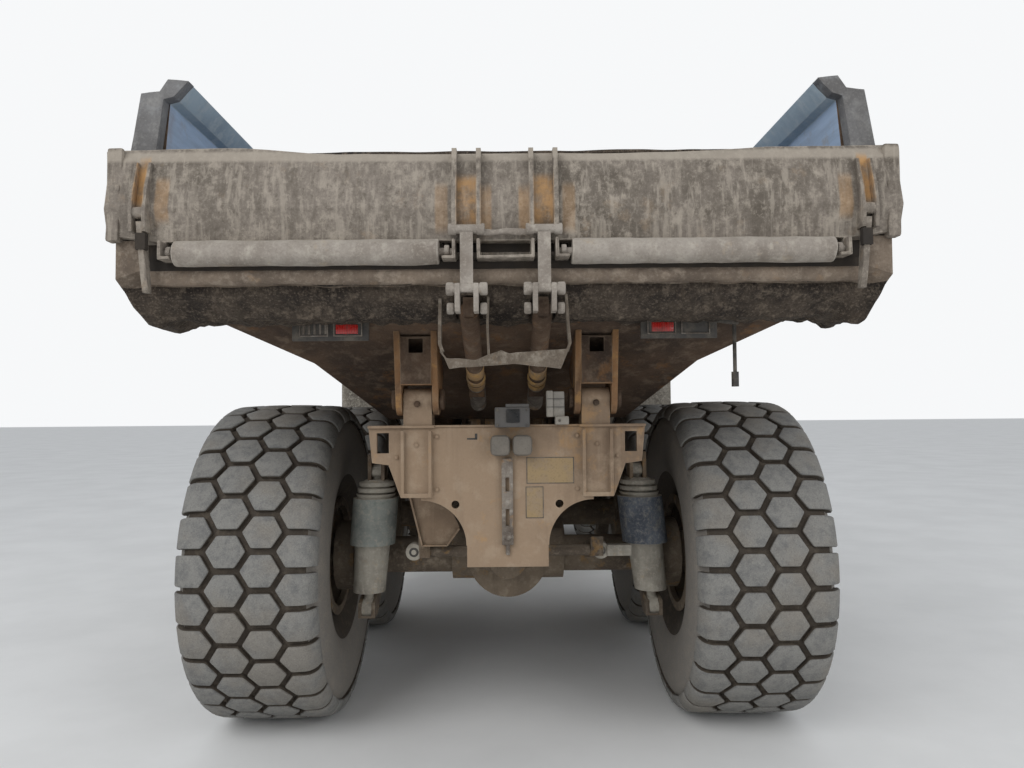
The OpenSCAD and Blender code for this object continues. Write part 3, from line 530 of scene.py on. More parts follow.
class Finishes:
    """The truck's materials, each made once."""

    def __init__(self) -> None:
        """Builds every finish."""
        stripes = ((0.158, 0.034, 0.85, 2.69, 0.075), (1.486, 0.016, 1.0, 2.775, 0.075),
                   (0.262, 0.02, 0.3, 2.66, 0.07), (0.078, 0.016, 0.45, 2.65, 0.07),
                   (1.405, 0.022, 0.4, 2.70, 0.06))
        self.gate = StreakedGrime("gate_mud", (0.214, 0.184, 0.155), (0.37, 0.325, 0.27),
                                  (0.108, 0.091, 0.073), (0.27, 0.205, 0.145), 0.10, 2.2, 0.40, 0.35, 0.8,
                                  0.8, stripes=stripes).make()
        self.tube = Grime("tube_mud", (0.335, 0.30, 0.262), (0.43, 0.39, 0.335), (0.20, 0.17, 0.142),
                          (0.37, 0.30, 0.22), 0.1, 2.4, 0.35, 0.4, 1.1, 0.9).make()
        self.beam = Grime("tail_mud", (0.080, 0.062, 0.047), (0.20, 0.16, 0.122), (0.024, 0.019, 0.016),
                          (0.10, 0.075, 0.054), 0.15, 3.5, 0.3, 0.5, 1.8, 2.4).make()
        self.post = Grime("post_mud", (0.175, 0.172, 0.172), (0.25, 0.245, 0.235), (0.12, 0.115, 0.112),
                          (0.24, 0.245, 0.25), 0.2, 2.0, 0.4, 0.3, 1.1, 0.7).make()
        self.lip = Grime("lip_mud", (0.220, 0.172, 0.130), (0.32, 0.265, 0.21), (0.12, 0.093, 0.072),
                         (0.26, 0.18, 0.115), 0.15, 3.0, 0.2, 0.4, 1.0, 0.9).make()
        self.ochre = Grime("worn_ochre", (0.42, 0.26, 0.12), (0.33, 0.27, 0.20), (0.24, 0.17, 0.11),
                           (0.52, 0.31, 0.11), 0.4, 4.0, 0.4, 0.2, 0.5, 0.4).make()
        self.plate = Grime("frame_paint", (0.285, 0.205, 0.138), (0.345, 0.265, 0.19), (0.185, 0.13, 0.088),
                           (0.36, 0.22, 0.105), 0.2, 1.3, 0.3, 0.35, 0.35, 0.35, 0.82).make()
        self.under = Grime("under_bed_mud", (0.100, 0.064, 0.042), (0.16, 0.118, 0.084),
                           (0.045, 0.031, 0.023), (0.17, 0.085, 0.035), 0.20, 1.7, 0.3, 0.5, 0.7, 0.9).make()
        self.hinge = Grime("hinge_paint", (0.240, 0.130, 0.062), (0.26, 0.17, 0.10), (0.11, 0.068, 0.042),
                           (0.33, 0.185, 0.07), 0.3, 3.0, 0.3, 0.4, 0.6, 0.5).make()
        self.rail = Grime("rail_steel", (0.325, 0.395, 0.445), (0.41, 0.45, 0.47), (0.245, 0.30, 0.345),
                          (0.33, 0.31, 0.27), 0.12, 1.6, 0.3, 0.3, 0.5, 0.5).make()
        self.guard = Grime("guard_mud", (0.145, 0.117, 0.090), (0.28, 0.245, 0.20), (0.095, 0.075, 0.058),
                           (0.20, 0.14, 0.09), 0.15, 3.0, 0.2, 0.3, 0.7, 0.7).make()
        self.bare = Grime("rusty_steel", (0.22, 0.19, 0.16), (0.33, 0.30, 0.26), (0.10, 0.08, 0.065),
                          (0.30, 0.17, 0.07), 0.22, 3.0, 0.3, 0.5, 0.7, 0.8).make()
        self.paint = Grime("body_paint", (0.42, 0.30, 0.12), (0.40, 0.34, 0.26), (0.20, 0.145, 0.085),
                           (0.60, 0.39, 0.06), 0.55, 0.9, 0.35, 0.55, 0.35, 0.3, 0.62).make()
        self.frame = Grime("chassis_mud", (0.20, 0.145, 0.095), (0.29, 0.235, 0.18), (0.075, 0.055, 0.04),
                           (0.30, 0.17, 0.06), 0.28, 1.4, 0.35, 0.6, 0.6, 0.7).make()
        self.axle = Grime("axle_mud", (0.16, 0.125, 0.090), (0.25, 0.205, 0.155), (0.085, 0.066, 0.050),
                          (0.26, 0.15, 0.055), 0.22, 2.4, 0.3, 0.5, 0.7, 0.9).make()
        self.strut = Grime("strut_left", (0.26, 0.275, 0.25), (0.36, 0.34, 0.29), (0.17, 0.18, 0.17),
                           (0.13, 0.16, 0.15), 0.2, 5.0, 0.3, 0.4, 0.6, 0.5, 0.8).make()
        self.strut_right = Grime("strut_right", (0.135, 0.152, 0.178), (0.30, 0.29, 0.27), (0.07, 0.08, 0.10),
                                 (0.22, 0.21, 0.19), 0.25, 6.0, 0.35, 0.5, 1.0, 0.6, 0.7).make()
        self.strut_foot = Grime("strut_foot", (0.34, 0.315, 0.265), (0.44, 0.40, 0.34), (0.20, 0.18, 0.15),
                                (0.36, 0.29, 0.20), 0.2, 5.0, 0.3, 0.4, 0.6, 0.6).make()
        self.flap = Grime("flap_sheet", (0.33, 0.30, 0.255), (0.44, 0.41, 0.35), (0.13, 0.115, 0.095),
                          (0.22, 0.19, 0.15), 0.3, 6.0, 0.2, 0.3, 2.2, 1.0).make()
        self.eye = Plain("camera_lens", (0.012, 0.012, 0.013), share=0.06, roughness=0.3).make()
        # Painted shade: a near-black finish for the sheets that stand in for the shade in the gate's hollows.
        self.painted_shade = Plain("dark_hollows", (0.030, 0.025, 0.021), (0.075, 0.060, 0.046), 0.4, 0.95).make()
        self.black = Plain("black_parts", (0.035, 0.034, 0.033), share=0.45, roughness=0.55).make()
        self.dark = Plain("dark_castings", (0.075, 0.070, 0.065), share=0.5, roughness=0.75).make()
        self.box = Plain("camera_housing", (0.088, 0.083, 0.079), (0.14, 0.128, 0.112), 0.35, 0.6).make()
        self.valve = Plain("valve_blocks", (0.27, 0.25, 0.22), (0.33, 0.29, 0.235), 0.35, 0.7).make()
        self.chrome = Plain("ram_rods", (0.52, 0.50, 0.48), share=0.25, roughness=0.3, metallic=0.9).make()
        self.sheet = WornSheet().make()
        self.rubber = DustyRubber().make()
        self.glass = Pane().make()
        self.red = Lens("red_lens", (0.50, 0.025, 0.02)).make()
        self.clear = Lens("clear_lens", (0.75, 0.74, 0.70)).make()
        self.cloth = SeatCloth().make()
        self.label = Plain("label_plates", (0.30, 0.215, 0.115), (0.27, 0.205, 0.145), 0.85, 0.8).make()
        self.buffer = Plain("rubber_buffers", (0.15, 0.135, 0.115), (0.22, 0.195, 0.165), 0.5, 0.85).make()


# Mesh work


def blank() -> BMesh:
    """An empty mesh in work that can mark its worn faces."""
    bm = bmesh.new()
    bm.faces.layers.float.new(WEAR)
    return bm


def settle(bm: BMesh, name: str) -> bpy.types.Mesh:
    """Turns a mesh in work into a mesh and frees it.

    Args:
        bm: the mesh in work.
        name: the mesh's name.

    Returns:
        The mesh.
    """
    mesh = bpy.data.meshes.new(name)
    bm.to_mesh(mesh)
    bm.free()
    return mesh


def link(name: str, data: bpy.types.ID) -> bpy.types.Object:
    """Makes an object of a mesh, a light or a camera and adds it to the scene."""
    made = bpy.data.objects.new(name, data)
    bpy.context.scene.collection.objects.link(made)
    return made


def ramp(way: float, run: float) -> float:
    """How much of a run is covered by a way, from 0 to 1."""
    return min(1.0, max(0.0, way / run))


def push(v: bmesh.types.BMVert, way: float) -> None:
    """Moves a vertex away from the truck's middle plane."""
    v.co.x += math.copysign(1.0, v.co.x) * way


class Forge:
    """Makes pieces from bmeshes and from copies of the CAD nodes."""

    def __init__(self, frame: dict) -> None:
        """Keeps the loaded frame.
        """
        self.nodes = frame["nodes"]
        self.body_of = {n: b for b, names in frame["record"]["behaviour"]["bodies"].items() for n in names}

    def put(self, bm: BMesh, name: str, body: str, finish: Material,
            smooth: float = 34.0) -> bpy.types.Object:
        """Turns a bmesh into a piece that rides on a body.

        Args:
            bm: the mesh in work, freed here.
            name: the piece's name.
            body: the CAD body that it moves with.
            finish: its material.
            smooth: angle in degrees past which an edge stays sharp.

        Returns:
            The piece.
        """
        mesh = settle(bm, name)
        mesh.polygons.foreach_set("use_smooth", [True] * len(mesh.polygons))
        mesh.set_sharp_from_angle(angle=math.radians(smooth))
        mesh.materials.append(finish)
        piece = link(name, mesh)
        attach(piece, body)
        LOG.info("%s: %d faces on %s", name, len(mesh.polygons), body)
        return piece

    def worked(self, node: str, bevel: float) -> BMesh:
        """A merged copy of a node's mesh with its sharp edges rolled over and marked as worn.

        Args:
            node: the CAD node.
            bevel: width of the rolled edge in metres.

        Returns:
            The bmesh.
        """
        bm = bmesh.new()
        bm.from_mesh(self.nodes[node].data)
        bmesh.ops.remove_doubles(bm, verts=bm.verts, dist=MERGE)
        bmesh.ops.dissolve_limit(bm, angle_limit=math.radians(0.6), verts=bm.verts, edges=bm.edges)
        mark = bm.faces.layers.float.new(WEAR)
        sharp = [e for e in bm.edges if e.is_manifold and e.calc_face_angle(0.0) > FOLD
                 and e.calc_length() > bevel * 1.2]
        for face in roll_edges(bm, sharp, bevel):
            face[mark] = 1.0
        return bm

    def reforge(self, node: str, finish: Material, bevel: float,
                roll: Callable[[BMesh], None] | None = None) -> bpy.types.Object:
        """Stands a worked copy in for a node.

        Args:
            node: the CAD node.
            finish: the copy's material.
            bevel: width of its rolled edges.
            roll: further work on the mesh, such as dents.

        Returns:
            The piece.
        """
        bm = self.worked(node, bevel)
        if roll:
            roll(bm)
        piece = self.put(bm, node + "_worked", self.body_of[node], finish)
        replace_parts(piece, node)
        return piece

    def paint(self, piece: bpy.types.Object, finish: Material,
              where: Callable[[bpy.types.MeshPolygon], bool]) -> None:
        """Gives the faces of a piece that meet a rule another finish.

        Args:
            piece: the piece.
            finish: the further material.
            where: the rule, told a face.
        """
        piece.data.materials.append(finish)
        slot = len(piece.data.materials) - 1
        for face in piece.data.polygons:
            if where(face):
                face.material_index = slot

    def dress(self, node: str, finish: Material) -> None:
        """Gives a node that stays its material."""
        mesh = self.nodes[node].data
        mesh.materials.clear()
        mesh.materials.append(finish)


def roll_edges(bm: BMesh, edges: Sequence[bmesh.types.BMEdge], width: float) -> list[bmesh.types.BMFace]:
    """Rolls edges over in two steps.

    Args:
        bm: the mesh in work.
        edges: what is rolled.
        width: width of the rolled edges.

    Returns:
        The faces that were made.
    """
    return bmesh.ops.bevel(bm, geom=edges, offset=width, segments=2, profile=0.5, affect="EDGES",
                           clamp_overlap=True, material=-1)["faces"]


def block(bm: BMesh, low: Sequence[float], high: Sequence[float], bevel: float) -> None:
    """Adds a rolled-edge bar or plate by two opposite corners.

    Args:
        bm: the mesh in work.
        low: one corner.
        high: the other corner.
        bevel: width of its rolled edges.
    """
    a, b = Vector(low), Vector(high)
    size = [abs(n) for n in b - a]
    place = Matrix.Translation((a + b) / 2) @ Matrix.Diagonal((*size, 1.0))
    verts = bmesh.ops.create_cube(bm, size=1.0, matrix=place)["verts"]
    if bevel:
        roll_edges(bm, list({e for v in verts for e in v.link_edges}), min(bevel, min(size) * 0.45))


def slabs(y: float, rows: Iterable[Slab]) -> BMesh:
    """Makes a mesh of rolled-edge bars and plates on an upright face.

    Args:
        y: the face's place.
        rows: each bar's limits along x, along y from the face and along z, then its rolled edges' width.

    Returns:
        The mesh in work.
    """
    bm = blank()
    for x0, x1, y0, y1, z0, z1, bevel in rows:
        block(bm, (x0, y + y0, z0), (x1, y + y1, z1), bevel)
    return bm


def rod(bm: BMesh, centre: Sequence[float], radius: float, length: float, axis: Axis, sides: int,
        bevel: float) -> None:
    """Adds a round bar, pin or drum with rolled rims.

    Args:
        bm: the mesh in work.
        centre: its middle.
        radius: its radius.
        length: its length.
        axis: the way it lies.
        sides: facets round it.
        bevel: width of its rolled rims.
    """
    place = Matrix.Translation(Vector(centre)) @ axis.turn()
    verts = bmesh.ops.create_cone(bm, cap_ends=True, segments=sides, radius1=radius, radius2=radius,
                                  depth=length, matrix=place)["verts"]
    rims = list({e for v in verts for e in v.link_edges if any(len(f.verts) > 4 for f in e.link_faces)})
    roll_edges(bm, rims, min(bevel, radius * 0.4, length * 0.3))


def bolt(bm: BMesh, centre: Sequence[float], size: float, axis: Axis = Axis.Y) -> None:
    """Adds a washer with a six-sided head on it, its middle on the face that it holds."""
    rod(bm, centre, size * 1.35, size * 0.6, axis, 16, 0.002)
    rod(bm, centre, size, size * 1.9, axis, 6, 0.002)


def lathe(bm: BMesh, profile: Iterable[tuple[float, float]], steps: int) -> list[bmesh.types.BMFace]:
    """Spins a profile of (x, radius) points about the x axis.

    Args:
        bm: the mesh in work.
        profile: points along x with their radii.
        steps: facets round the axis.

    Returns:
        The faces that were made.
    """
    verts = [bm.verts.new((x, 0.0, r)) for x, r in profile]
    edges = [bm.edges.new(pair) for pair in zip(verts, verts[1:])]
    before = set(bm.faces)
    bmesh.ops.spin(bm, geom=verts + edges, cent=(0, 0, 0), axis=(1, 0, 0), angle=math.tau, steps=steps,
                   use_merge=True, use_duplicate=False)
    return [f for f in bm.faces if f not in before]


def prism(bm: BMesh, outline: Sequence[tuple[float, float]], near: float, far: float) -> None:
    """Adds a plate with an outline of (x, z) points between two places along y.

    Args:
        bm: the mesh in work.
        outline: its corners, in order.
        near: the first face's y.
        far: the other face's y.
    """
    face = bm.faces.new([bm.verts.new((x, near, z)) for x, z in outline])
    made = bmesh.ops.extrude_face_region(bm, geom=[face])["geom"]
    for v in made:
        if isinstance(v, bmesh.types.BMVert):
            v.co.y = far
    bmesh.ops.recalc_face_normals(bm, faces=list({f for v in face.verts for f in v.link_faces} | {
        f for f in made if isinstance(f, bmesh.types.BMFace)}))


def strip(bm: BMesh, start: tuple[float, float], end: tuple[float, float], near: float, far: float,
          thick: float) -> None:
    """Adds a flat bar along an edge of a plate, seen from behind.

    Args:
        bm: the mesh in work.
        start: (x, z) of one end.
        end: (x, z) of the other end.
        near: its rear face's y.
        far: its front face's y.
        thick: its thickness.
    """
    (x0, z0), (x1, z1) = start, end
    across = Vector((z1 - z0, 0.0, x0 - x1)) * (thick / 2 / math.hypot(x1 - x0, z1 - z0))
    corners = ((x0, z0, 1), (x1, z1, 1), (x1, z1, -1), (x0, z0, -1))
    prism(bm, [(x + k * across.x, z + k * across.z) for x, z, k in corners], near, far)


def rough_up(verts: Iterable[bmesh.types.BMVert], amount: float, scale: float, seed: float,
             keep: Callable[[Vector], float] = lambda p: 1.0) -> None:
    """Moves vertices by smooth noise, for mud skins and bent sheet.

    Args:
        verts: what is moved.
        amount: the furthest move in metres.
        scale: grains a metre.
        seed: shift of the noise.
        keep: share of the move at a point.
    """
    for v in verts:
        share = keep(v.co)
        if share > 0:
            v.co += noise.noise_vector(v.co * scale + Vector((seed, seed, seed))) * amount * share


def slices(bm: BMesh, axis: int, low: float, high: float, step: float) -> None:
    """Cuts the whole mesh into bands across an axis, so that it can be bent or roughened.

    Args:
        bm: the mesh in work.
        axis: 0, 1 or 2 for x, y or z.
        low: first cut.
        high: last cut.
        step: width of a band.
    """
    place = low
    while place < high:
        cut(bm, bm.verts[:] + bm.edges[:] + bm.faces[:], axis, place, 1e-5)
        place += step


def cut(bm: BMesh, geom: list, axis: int, place: float, merge: float) -> list:
    """Cuts a part of the mesh across an axis.

    Args:
        bm: the mesh in work.
        geom: what is cut.
        axis: 0, 1 or 2 for x, y or z.
        place: where the cut is.
        merge: distance under which a vertex counts as on the cut.

    Returns:
        The part with its new vertices, edges and faces.
    """
    point, normal = Vector(), Vector()
    point[axis], normal[axis] = place, 1.0
    return bmesh.ops.bisect_plane(bm, geom=geom, dist=merge, plane_co=point, plane_no=normal)["geom"]


# Wheels


@dataclass
class Tyre:
    """A wide-base earthmover tyre with four staggered columns of six-sided blocks."""

    radius: float = 0.9365
    flat: float = 0.287
    shoulder: float = 0.085
    depth: float = 0.034
    column: float = 0.18
    tip: float = 0.1030
    count: int = 30
    gap: float = 0.0160
    outer: float = 0.150
    root: float = 0.012
    roll: float = 0.0085
    bow: float = 0.11
    sides: tuple[tuple[float, float], ...] = (
        (0.250, 0.328), (0.266, 0.345), (0.276, 0.372), (0.305, 0.425), (0.340, 0.500), (0.346, 0.512),
        (0.363, 0.575), (0.3695, 0.640), (0.3715, 0.700), (0.3680, 0.760), (0.364, 0.790), (0.357, 0.8135))

    def crown(self, along: float, height: float) -> tuple[float, float]:
        """Lays a point of the flat tread pattern on the tyre's section.

        Args:
            along: distance from the middle of the tread, over the surface.
            height: height over the floor of the grooves.

        Returns:
            x and radius.
        """
        s, sign = abs(along), math.copysign(1.0, along)
        lean = 2 * self.bow * min(s, self.flat)
        x, r = s, self.radius - self.bow * s * s
        if s > self.flat:
            lean = 2 * self.bow * self.flat
            start, x, r = lean, self.flat, self.radius - self.bow * self.flat ** 2
            lean += (s - self.flat) / self.shoulder
            x += self.shoulder * (math.sin(lean) - math.sin(start))
            r -= self.shoulder * (math.cos(start) - math.cos(lean))
        sink = self.depth - height
        return sign * (x - sink * math.sin(lean)), r - sink * math.cos(lean)

    def lug(self, bm: BMesh, middle: float, shift: float) -> None:
        """Adds one block to the flat pattern, (arc, along, height).

        Args:
            bm: the flat pattern.
            middle: its column.
            shift: its place along the arc.
        """
        reach = math.pi * self.radius / self.count - self.gap
        outer = abs(middle) > self.column
        sign = math.copysign(1.0, middle)
        outline = [(0.0, self.tip), (-reach, self.tip * 0.5), (-reach, -self.tip * 0.5), (0.0, -self.tip),
                   (reach, -self.tip * 0.5), (reach, self.tip * 0.5)]
        if outer:
            outline = [(-reach, self.outer * sign), (-reach, -self.tip * 0.5 * sign), (0.0, -self.tip * sign),
                       (reach, -self.tip * 0.5 * sign), (reach, self.outer * sign)]
        before = set(bm.verts)
        corners = [bm.verts.new((shift + u, middle + v, self.depth)) for u, v in outline]
        face = bm.faces.new(corners)
        face.normal_update()
        if face.normal.z < 0:
            face.normal_flip()
        base = bmesh.ops.extrude_face_region(bm, geom=[face])
        for v in base["geom"]:
            if isinstance(v, bmesh.types.BMVert):
                v.co.z = self.depth
        for v in corners:
            v.co.z = -self.root
        tops = [v for v in base["geom"] if isinstance(v, bmesh.types.BMVert)]
        rim = [e for e in {e for v in tops for e in v.link_edges} if all(v in tops for v in e.verts)]
        posts = [e for e in {e for v in tops for e in v.link_edges} if e not in rim]
        roll_edges(bm, rim + posts, self.roll)
        fresh = [v for v in bm.verts if v not in before]
        geom = list({g for v in fresh for g in (v, *v.link_edges, *v.link_faces)})
        cuts = [(0, shift), (1, middle)]
        if outer:
            cuts = [(0, shift)] + [(1, sign * at) for at in (0.24, 0.29, 0.315, 0.34, 0.365, 0.39)]
        for axis, at in cuts:
            geom = cut(bm, geom, axis, at, 1e-6)

    def build(self) -> bpy.types.Mesh:
        """Makes the tyre round the origin, its axle along x.

        Returns:
            The mesh, which the six wheels copy.
        """
        bm = blank()
        mark = bm.faces.layers.float[WEAR]
        pitch = math.tau * self.radius / self.count
        for number, middle in enumerate((-1.5, -0.5, 0.5, 1.5)):
            self.lug(bm, middle * self.column, (number % 2) * pitch / 2)
        for face in bm.faces:
            if all(v.co.z > self.depth - self.roll - 0.0001 for v in face.verts):
                face[mark] = 1.0
        for v in bm.verts:
            x, r = self.crown(v.co.y, v.co.z)
            turn = v.co.x / self.radius
            v.co = Vector((x, -r * math.cos(turn), r * math.sin(turn)))
        more = self.count - 1
        bmesh.ops.spin(bm, geom=bm.verts[:] + bm.edges[:] + bm.faces[:], cent=(0, 0, 0), axis=(1, 0, 0),
                       angle=math.tau * more / self.count, steps=more, use_duplicate=True)
        floor = [self.crown(self.flat * i / 6 * 1.18, 0.0) for i in range(-6, 7)]
        (x0, r0), near = self.sides[0], list(reversed(self.sides))
        profile = [(-x, r) for x, r in self.sides] + floor + near + [(-x0, r0)]
        for face in lathe(bm, profile, 96):
            at = face.calc_center_median()
            if abs(at.x) > self.flat + 0.04 and math.hypot(at.y, at.z) < self.radius - 0.075:
                face[mark] = WALL
        bmesh.ops.remove_doubles(bm, verts=bm.verts, dist=1e-5)
        bmesh.ops.recalc_face_normals(bm, faces=bm.faces)
        return settle(bm, "tyre")


@dataclass
class Rim:
    """A three-piece rim with its disc, hub reduction and nuts."""

    barrel: tuple[tuple[float, float], ...] = (
        (-0.303, 0.306), (-0.303, 0.352), (-0.298, 0.360), (-0.290, 0.358), (-0.286, 0.328), (0.286, 0.328),
        (0.290, 0.358), (0.298, 0.360), (0.303, 0.352), (0.303, 0.306), (0.270, 0.300), (0.262, 0.308),
        (-0.262, 0.308), (-0.270, 0.300))
    disc: tuple[tuple[float, float], ...] = ((0.056, 0.310), (0.078, 0.310), (0.086, 0.296), (0.084, 0.262),
                                            (0.078, 0.236), (0.078, 0.200), (0.056, 0.200))
    hub: tuple[tuple[float, float], ...] = ((-0.118, 0.0), (-0.118, 0.212), (0.104, 0.212), (0.112, 0.236),
                                           (0.134, 0.236), (0.142, 0.206), (0.194, 0.196), (0.214, 0.176),
                                           (0.220, 0.110), (0.228, 0.096), (0.229, 0.0))
    nuts: int = 24

    def build(self) -> bpy.types.Mesh:
        """Makes the rim round the origin with its outer side at +x.

        Returns:
            The mesh, which the six wheels copy.
        """
        bm = blank()
        for profile in (self.barrel, self.disc):
            lathe(bm, [*profile, profile[0]], 64)
        lathe(bm, self.hub, 48)
        bmesh.ops.remove_doubles(bm, verts=bm.verts, dist=1e-5)
        for i in range(self.nuts):
            turn = Matrix.Rotation(math.tau * i / self.nuts, 3, "X")
            bolt(bm, turn @ Vector((0.086, 0.0, 0.276)), 0.014, Axis.X)
            if i % 2:
                bolt(bm, turn @ Vector((0.136, 0.0, 0.220)), 0.011, Axis.X)
        bmesh.ops.recalc_face_normals(bm, faces=bm.faces)
        return settle(bm, "rim")


# The truck's assemblies


@dataclass
class Assembly:
    """A part of the truck: its forge, its finishes and the body that its pieces ride on."""

    forge: Forge
    finishes: Finishes
    body: str = "rear_frame"

    def add(self, bm: BMesh, name: str, finish: Material) -> bpy.types.Object:
        """Puts a mesh on the assembly's body.

        Args:
            bm: the mesh in work.
            name: the piece's name.
            finish: its material.

        Returns:
            The piece.
        """
        return self.forge.put(bm, name, self.body, finish)

    def build(self) -> None:
        """Makes the assembly's pieces."""
        raise NotImplementedError


@dataclass
class Wheels(Assembly):
    """The six wheels, each a tyre and a rim that ride on their own body."""

    places: tuple[tuple[str, float], ...] = (("rear", 0.0), ("mid", 1.940), ("front", 6.390))
    track_half: float = 1.345
    axle_z: float = 0.9375
    first_turn: float = 0.031
    row_turn: float = 0.047
    left_turn: float = 0.083

    def build(self) -> None:
        """Copies one tyre and one rim to every wheel, none turned like another."""
        tyre, rim = Tyre().build(), Rim().build()
        for number, (row, y) in enumerate(self.places):
            for side in Side:
                centre = Vector((side.value * self.track_half, REAR_AXLE_Y + y, self.axle_z))
                turn = self.first_turn + self.row_turn * number
                turn += self.left_turn if side is Side.LEFT else 0.0
                place = Matrix.Translation(centre) @ Matrix.Rotation(turn, 4, "X")
                where = f"{row}_{side.name.lower()}"
                self.fit(tyre, place, "tyre_" + where, "_lugged", self.finishes.rubber, 30.0)
                if side is Side.LEFT:
                    place = place @ Matrix.Diagonal((-1.0, 1.0, 1.0, 1.0))
                self.fit(rim, place, "rim_" + where, "_bolted", self.finishes.axle, 34.0)

    def fit(self, mesh: bpy.types.Mesh, place: Matrix, node: str, ending: str, finish: Material,
            smooth: float) -> None:
        """Stands a copy of a mesh in for a wheel's node.

        Args:
            mesh: the mesh, made round the origin.
            place: where it goes, mirrored for a left rim.
            node: the node that it replaces.
            ending: what its name adds to the node's.
            finish: its material.
            smooth: angle in degrees past which an edge stays sharp.
        """
        bm = bmesh.new()
        bm.from_mesh(mesh)
        bmesh.ops.transform(bm, matrix=place, verts=bm.verts)
        if place.is_negative:
            bmesh.ops.reverse_faces(bm, faces=bm.faces)
        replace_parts(self.forge.put(bm, node + ending, self.forge.body_of[node], finish, smooth), node)


@dataclass
class Tailgate(Assembly):
    """The gate: its pressed sheet, ribs, tubes and straps, with pins and side hooks."""

    body: str = "tailgate"
    face_y: float = REAR_AXLE_Y - 1.640
    top: float = 2.905
    pin_z: float = 2.625
    pin_drop: float = 0.062
    pin_back: float = 0.108
    strap_x: float = 0.158
    tube_z: float = 2.478
    folds: tuple[tuple[float, float, float], ...] = ((2.550, 2.565, 0.034), (2.575, 2.610, 0.020),
                                                     (2.630, 2.690, 0.055))

    def build(self) -> None:
        """Works the CAD nodes and adds the fittings."""
        f = self.finishes
        self.forge.reforge("tailgate_panel", f.gate, 0.007, self.dent)
        self.forge.reforge("tailgate_ribs", f.gate, 0.004, self.lower_pins)
        self.forge.reforge("tailgate_tubes", f.tube, 0.006, self.dent_tube)
        self.forge.reforge("tailgate_straps", f.tube, 0.005, self.lower_straps)
        self.fittings()
        self.hollows()
        self.end_caps()
        self.top_strip()

    def dent(self, bm: BMesh) -> None:
        """Lowers the sheet's folds and gives it the shallow waves of a used gate."""
        mark = bm.faces.layers.float[WEAR]
        for face in bm.faces:
            if 2.58 < face.calc_center_median().z < 2.72:
                face[mark] = 0.0
        for v in bm.verts:
            for low, high, drop in self.folds:
                if low < v.co.z < high and abs(v.co.x) < 1.62:
                    v.co.z -= drop
        slices(bm, 0, -1.6, 1.6, 0.10)
        slices(bm, 2, 2.60, 2.89, 0.07)
        rough_up(bm.verts, 0.006, 2.6, 4.0)
        rough_up(bm.verts, 0.0022, 14.0, 1.0)
        self.turn_up(bm)

    def turn_up(self, bm: BMesh) -> None:
        """Bends the top edge up towards both ends."""
        for v in bm.verts:
            v.co.z += 0.025 * ramp(abs(v.co.x) - 0.75, 0.35) * ramp(v.co.z - 2.62, 0.25)

    def lower_pins(self, bm: BMesh) -> None:
        """Lowers the straps' upper pins and the hook arms under the end ribs."""
        for v in bm.verts:
            if abs(v.co.x) < 0.2 and abs(v.co.z - self.pin_z) < 0.015 and abs(
                    v.co.y - self.face_y + self.pin_back) < 0.015:
                v.co.z -= self.pin_drop
            if v.co.z < 2.55:
                v.co.z -= 0.085
                push(v, -0.018)
        self.turn_up(bm)

    def lower_straps(self, bm: BMesh) -> None:
        """Lowers the straps' upper ends, their lower pins and the cheeks' tops."""
        for v in bm.verts:
            for floor, drop in ((2.58, self.pin_drop), (2.376, 0.050), (2.33, 0.035)):
                if v.co.z > floor:
                    v.co.z -= drop
                    break

    def dent_tube(self, bm: BMesh) -> None:
        """Roughens the tubes a little, as crusted mud does."""
        for v in bm.verts:
            if abs(v.co.x) > 0.265:
                v.co.z = self.tube_z + (v.co.z - self.tube_z) * 0.94
            elif v.co.z < 2.46:
                v.co.z -= 0.02
        slices(bm, 0, -1.38, 1.38, 0.035)
        rough_up(bm.verts, 0.0035, 11.0, 2.0)

    def fittings(self) -> None:
        """Adds the pins of the straps, the tube ends and the bent rod in the pocket."""
        y, high = self.face_y - self.pin_back, self.pin_z - self.pin_drop
        rows = (((0.100, 0.216), y + 0.004, high, 0.024, 0.034, 20, 0.006),
                ((0.090, 0.226), y + 0.007, 2.320, 0.027, 0.034, 14, 0.007),
                ((0.090, 0.226), y + 0.030, 2.243, 0.024, 0.030, 14, 0.007),
                ((self.strap_x,), y, high, 0.019, 0.125, 20, 0.004),
                ((1.375, 0.240), self.face_y - 0.074, 2.482, 0.024, 0.022, 16, 0.005))
        bm = blank()
        for xs, at, z, radius, length, sides, bevel in rows:
            for x in (side * x for side in SIDES for x in xs):
                rod(bm, (x, at, z), radius, length, Axis.X, sides, bevel)
        self.add(bm, "gate_fittings", self.finishes.tube)
        bm = blank()
        rod(bm, (0.0, y + 0.010, 2.553), 0.013, 0.210, Axis.X, 12, 0.002)
        slices(bm, 0, -0.1, 0.1, 0.015)
        rough_up(bm.verts, 0.007, 16.0, 3.0)
        self.add(bm, "pocket_rod", self.finishes.tube)

    def hollows(self) -> None:
        """Adds dark sheets of painted shade in the pocket, beside the tubes' ends and at the hooks, and a
        painted shadow under the tubes.
        """
        rows = [(-0.262, 0.262, -0.015, -0.011, 2.488, 2.545, 0.0),
                (-1.52, 1.52, -0.034, -0.028, 2.414, 2.452, 0.0)]
        for side in SIDES:
            rows += [(side * 1.352, side * 1.52, -0.020, -0.012, 2.452, 2.54, 0.0),
                     (side * 1.450, side * 1.490, -0.129, -0.100, 2.486, 2.553, 0.0)]
        self.add(slabs(self.face_y, rows), "gate_hollows", self.finishes.painted_shade)

    def end_caps(self) -> None:
        """Adds the folded caps at the ends of the sheet."""
        bm = slabs(self.face_y, [(side * 1.580, side * out, -back, -0.03, low, high, 0.010) for side in SIDES
                                 for low, high, back, out in ((2.530, 2.752, 0.083, 1.634),
                                                              (2.752, 2.900, 0.060, 1.642))])
        slices(bm, 2, 2.58, 2.90, 0.04)
        rough_up(bm.verts, 0.004, 9.0, 6.0)
        self.turn_up(bm)
        self.add(bm, "gate_end_caps", self.finishes.gate)

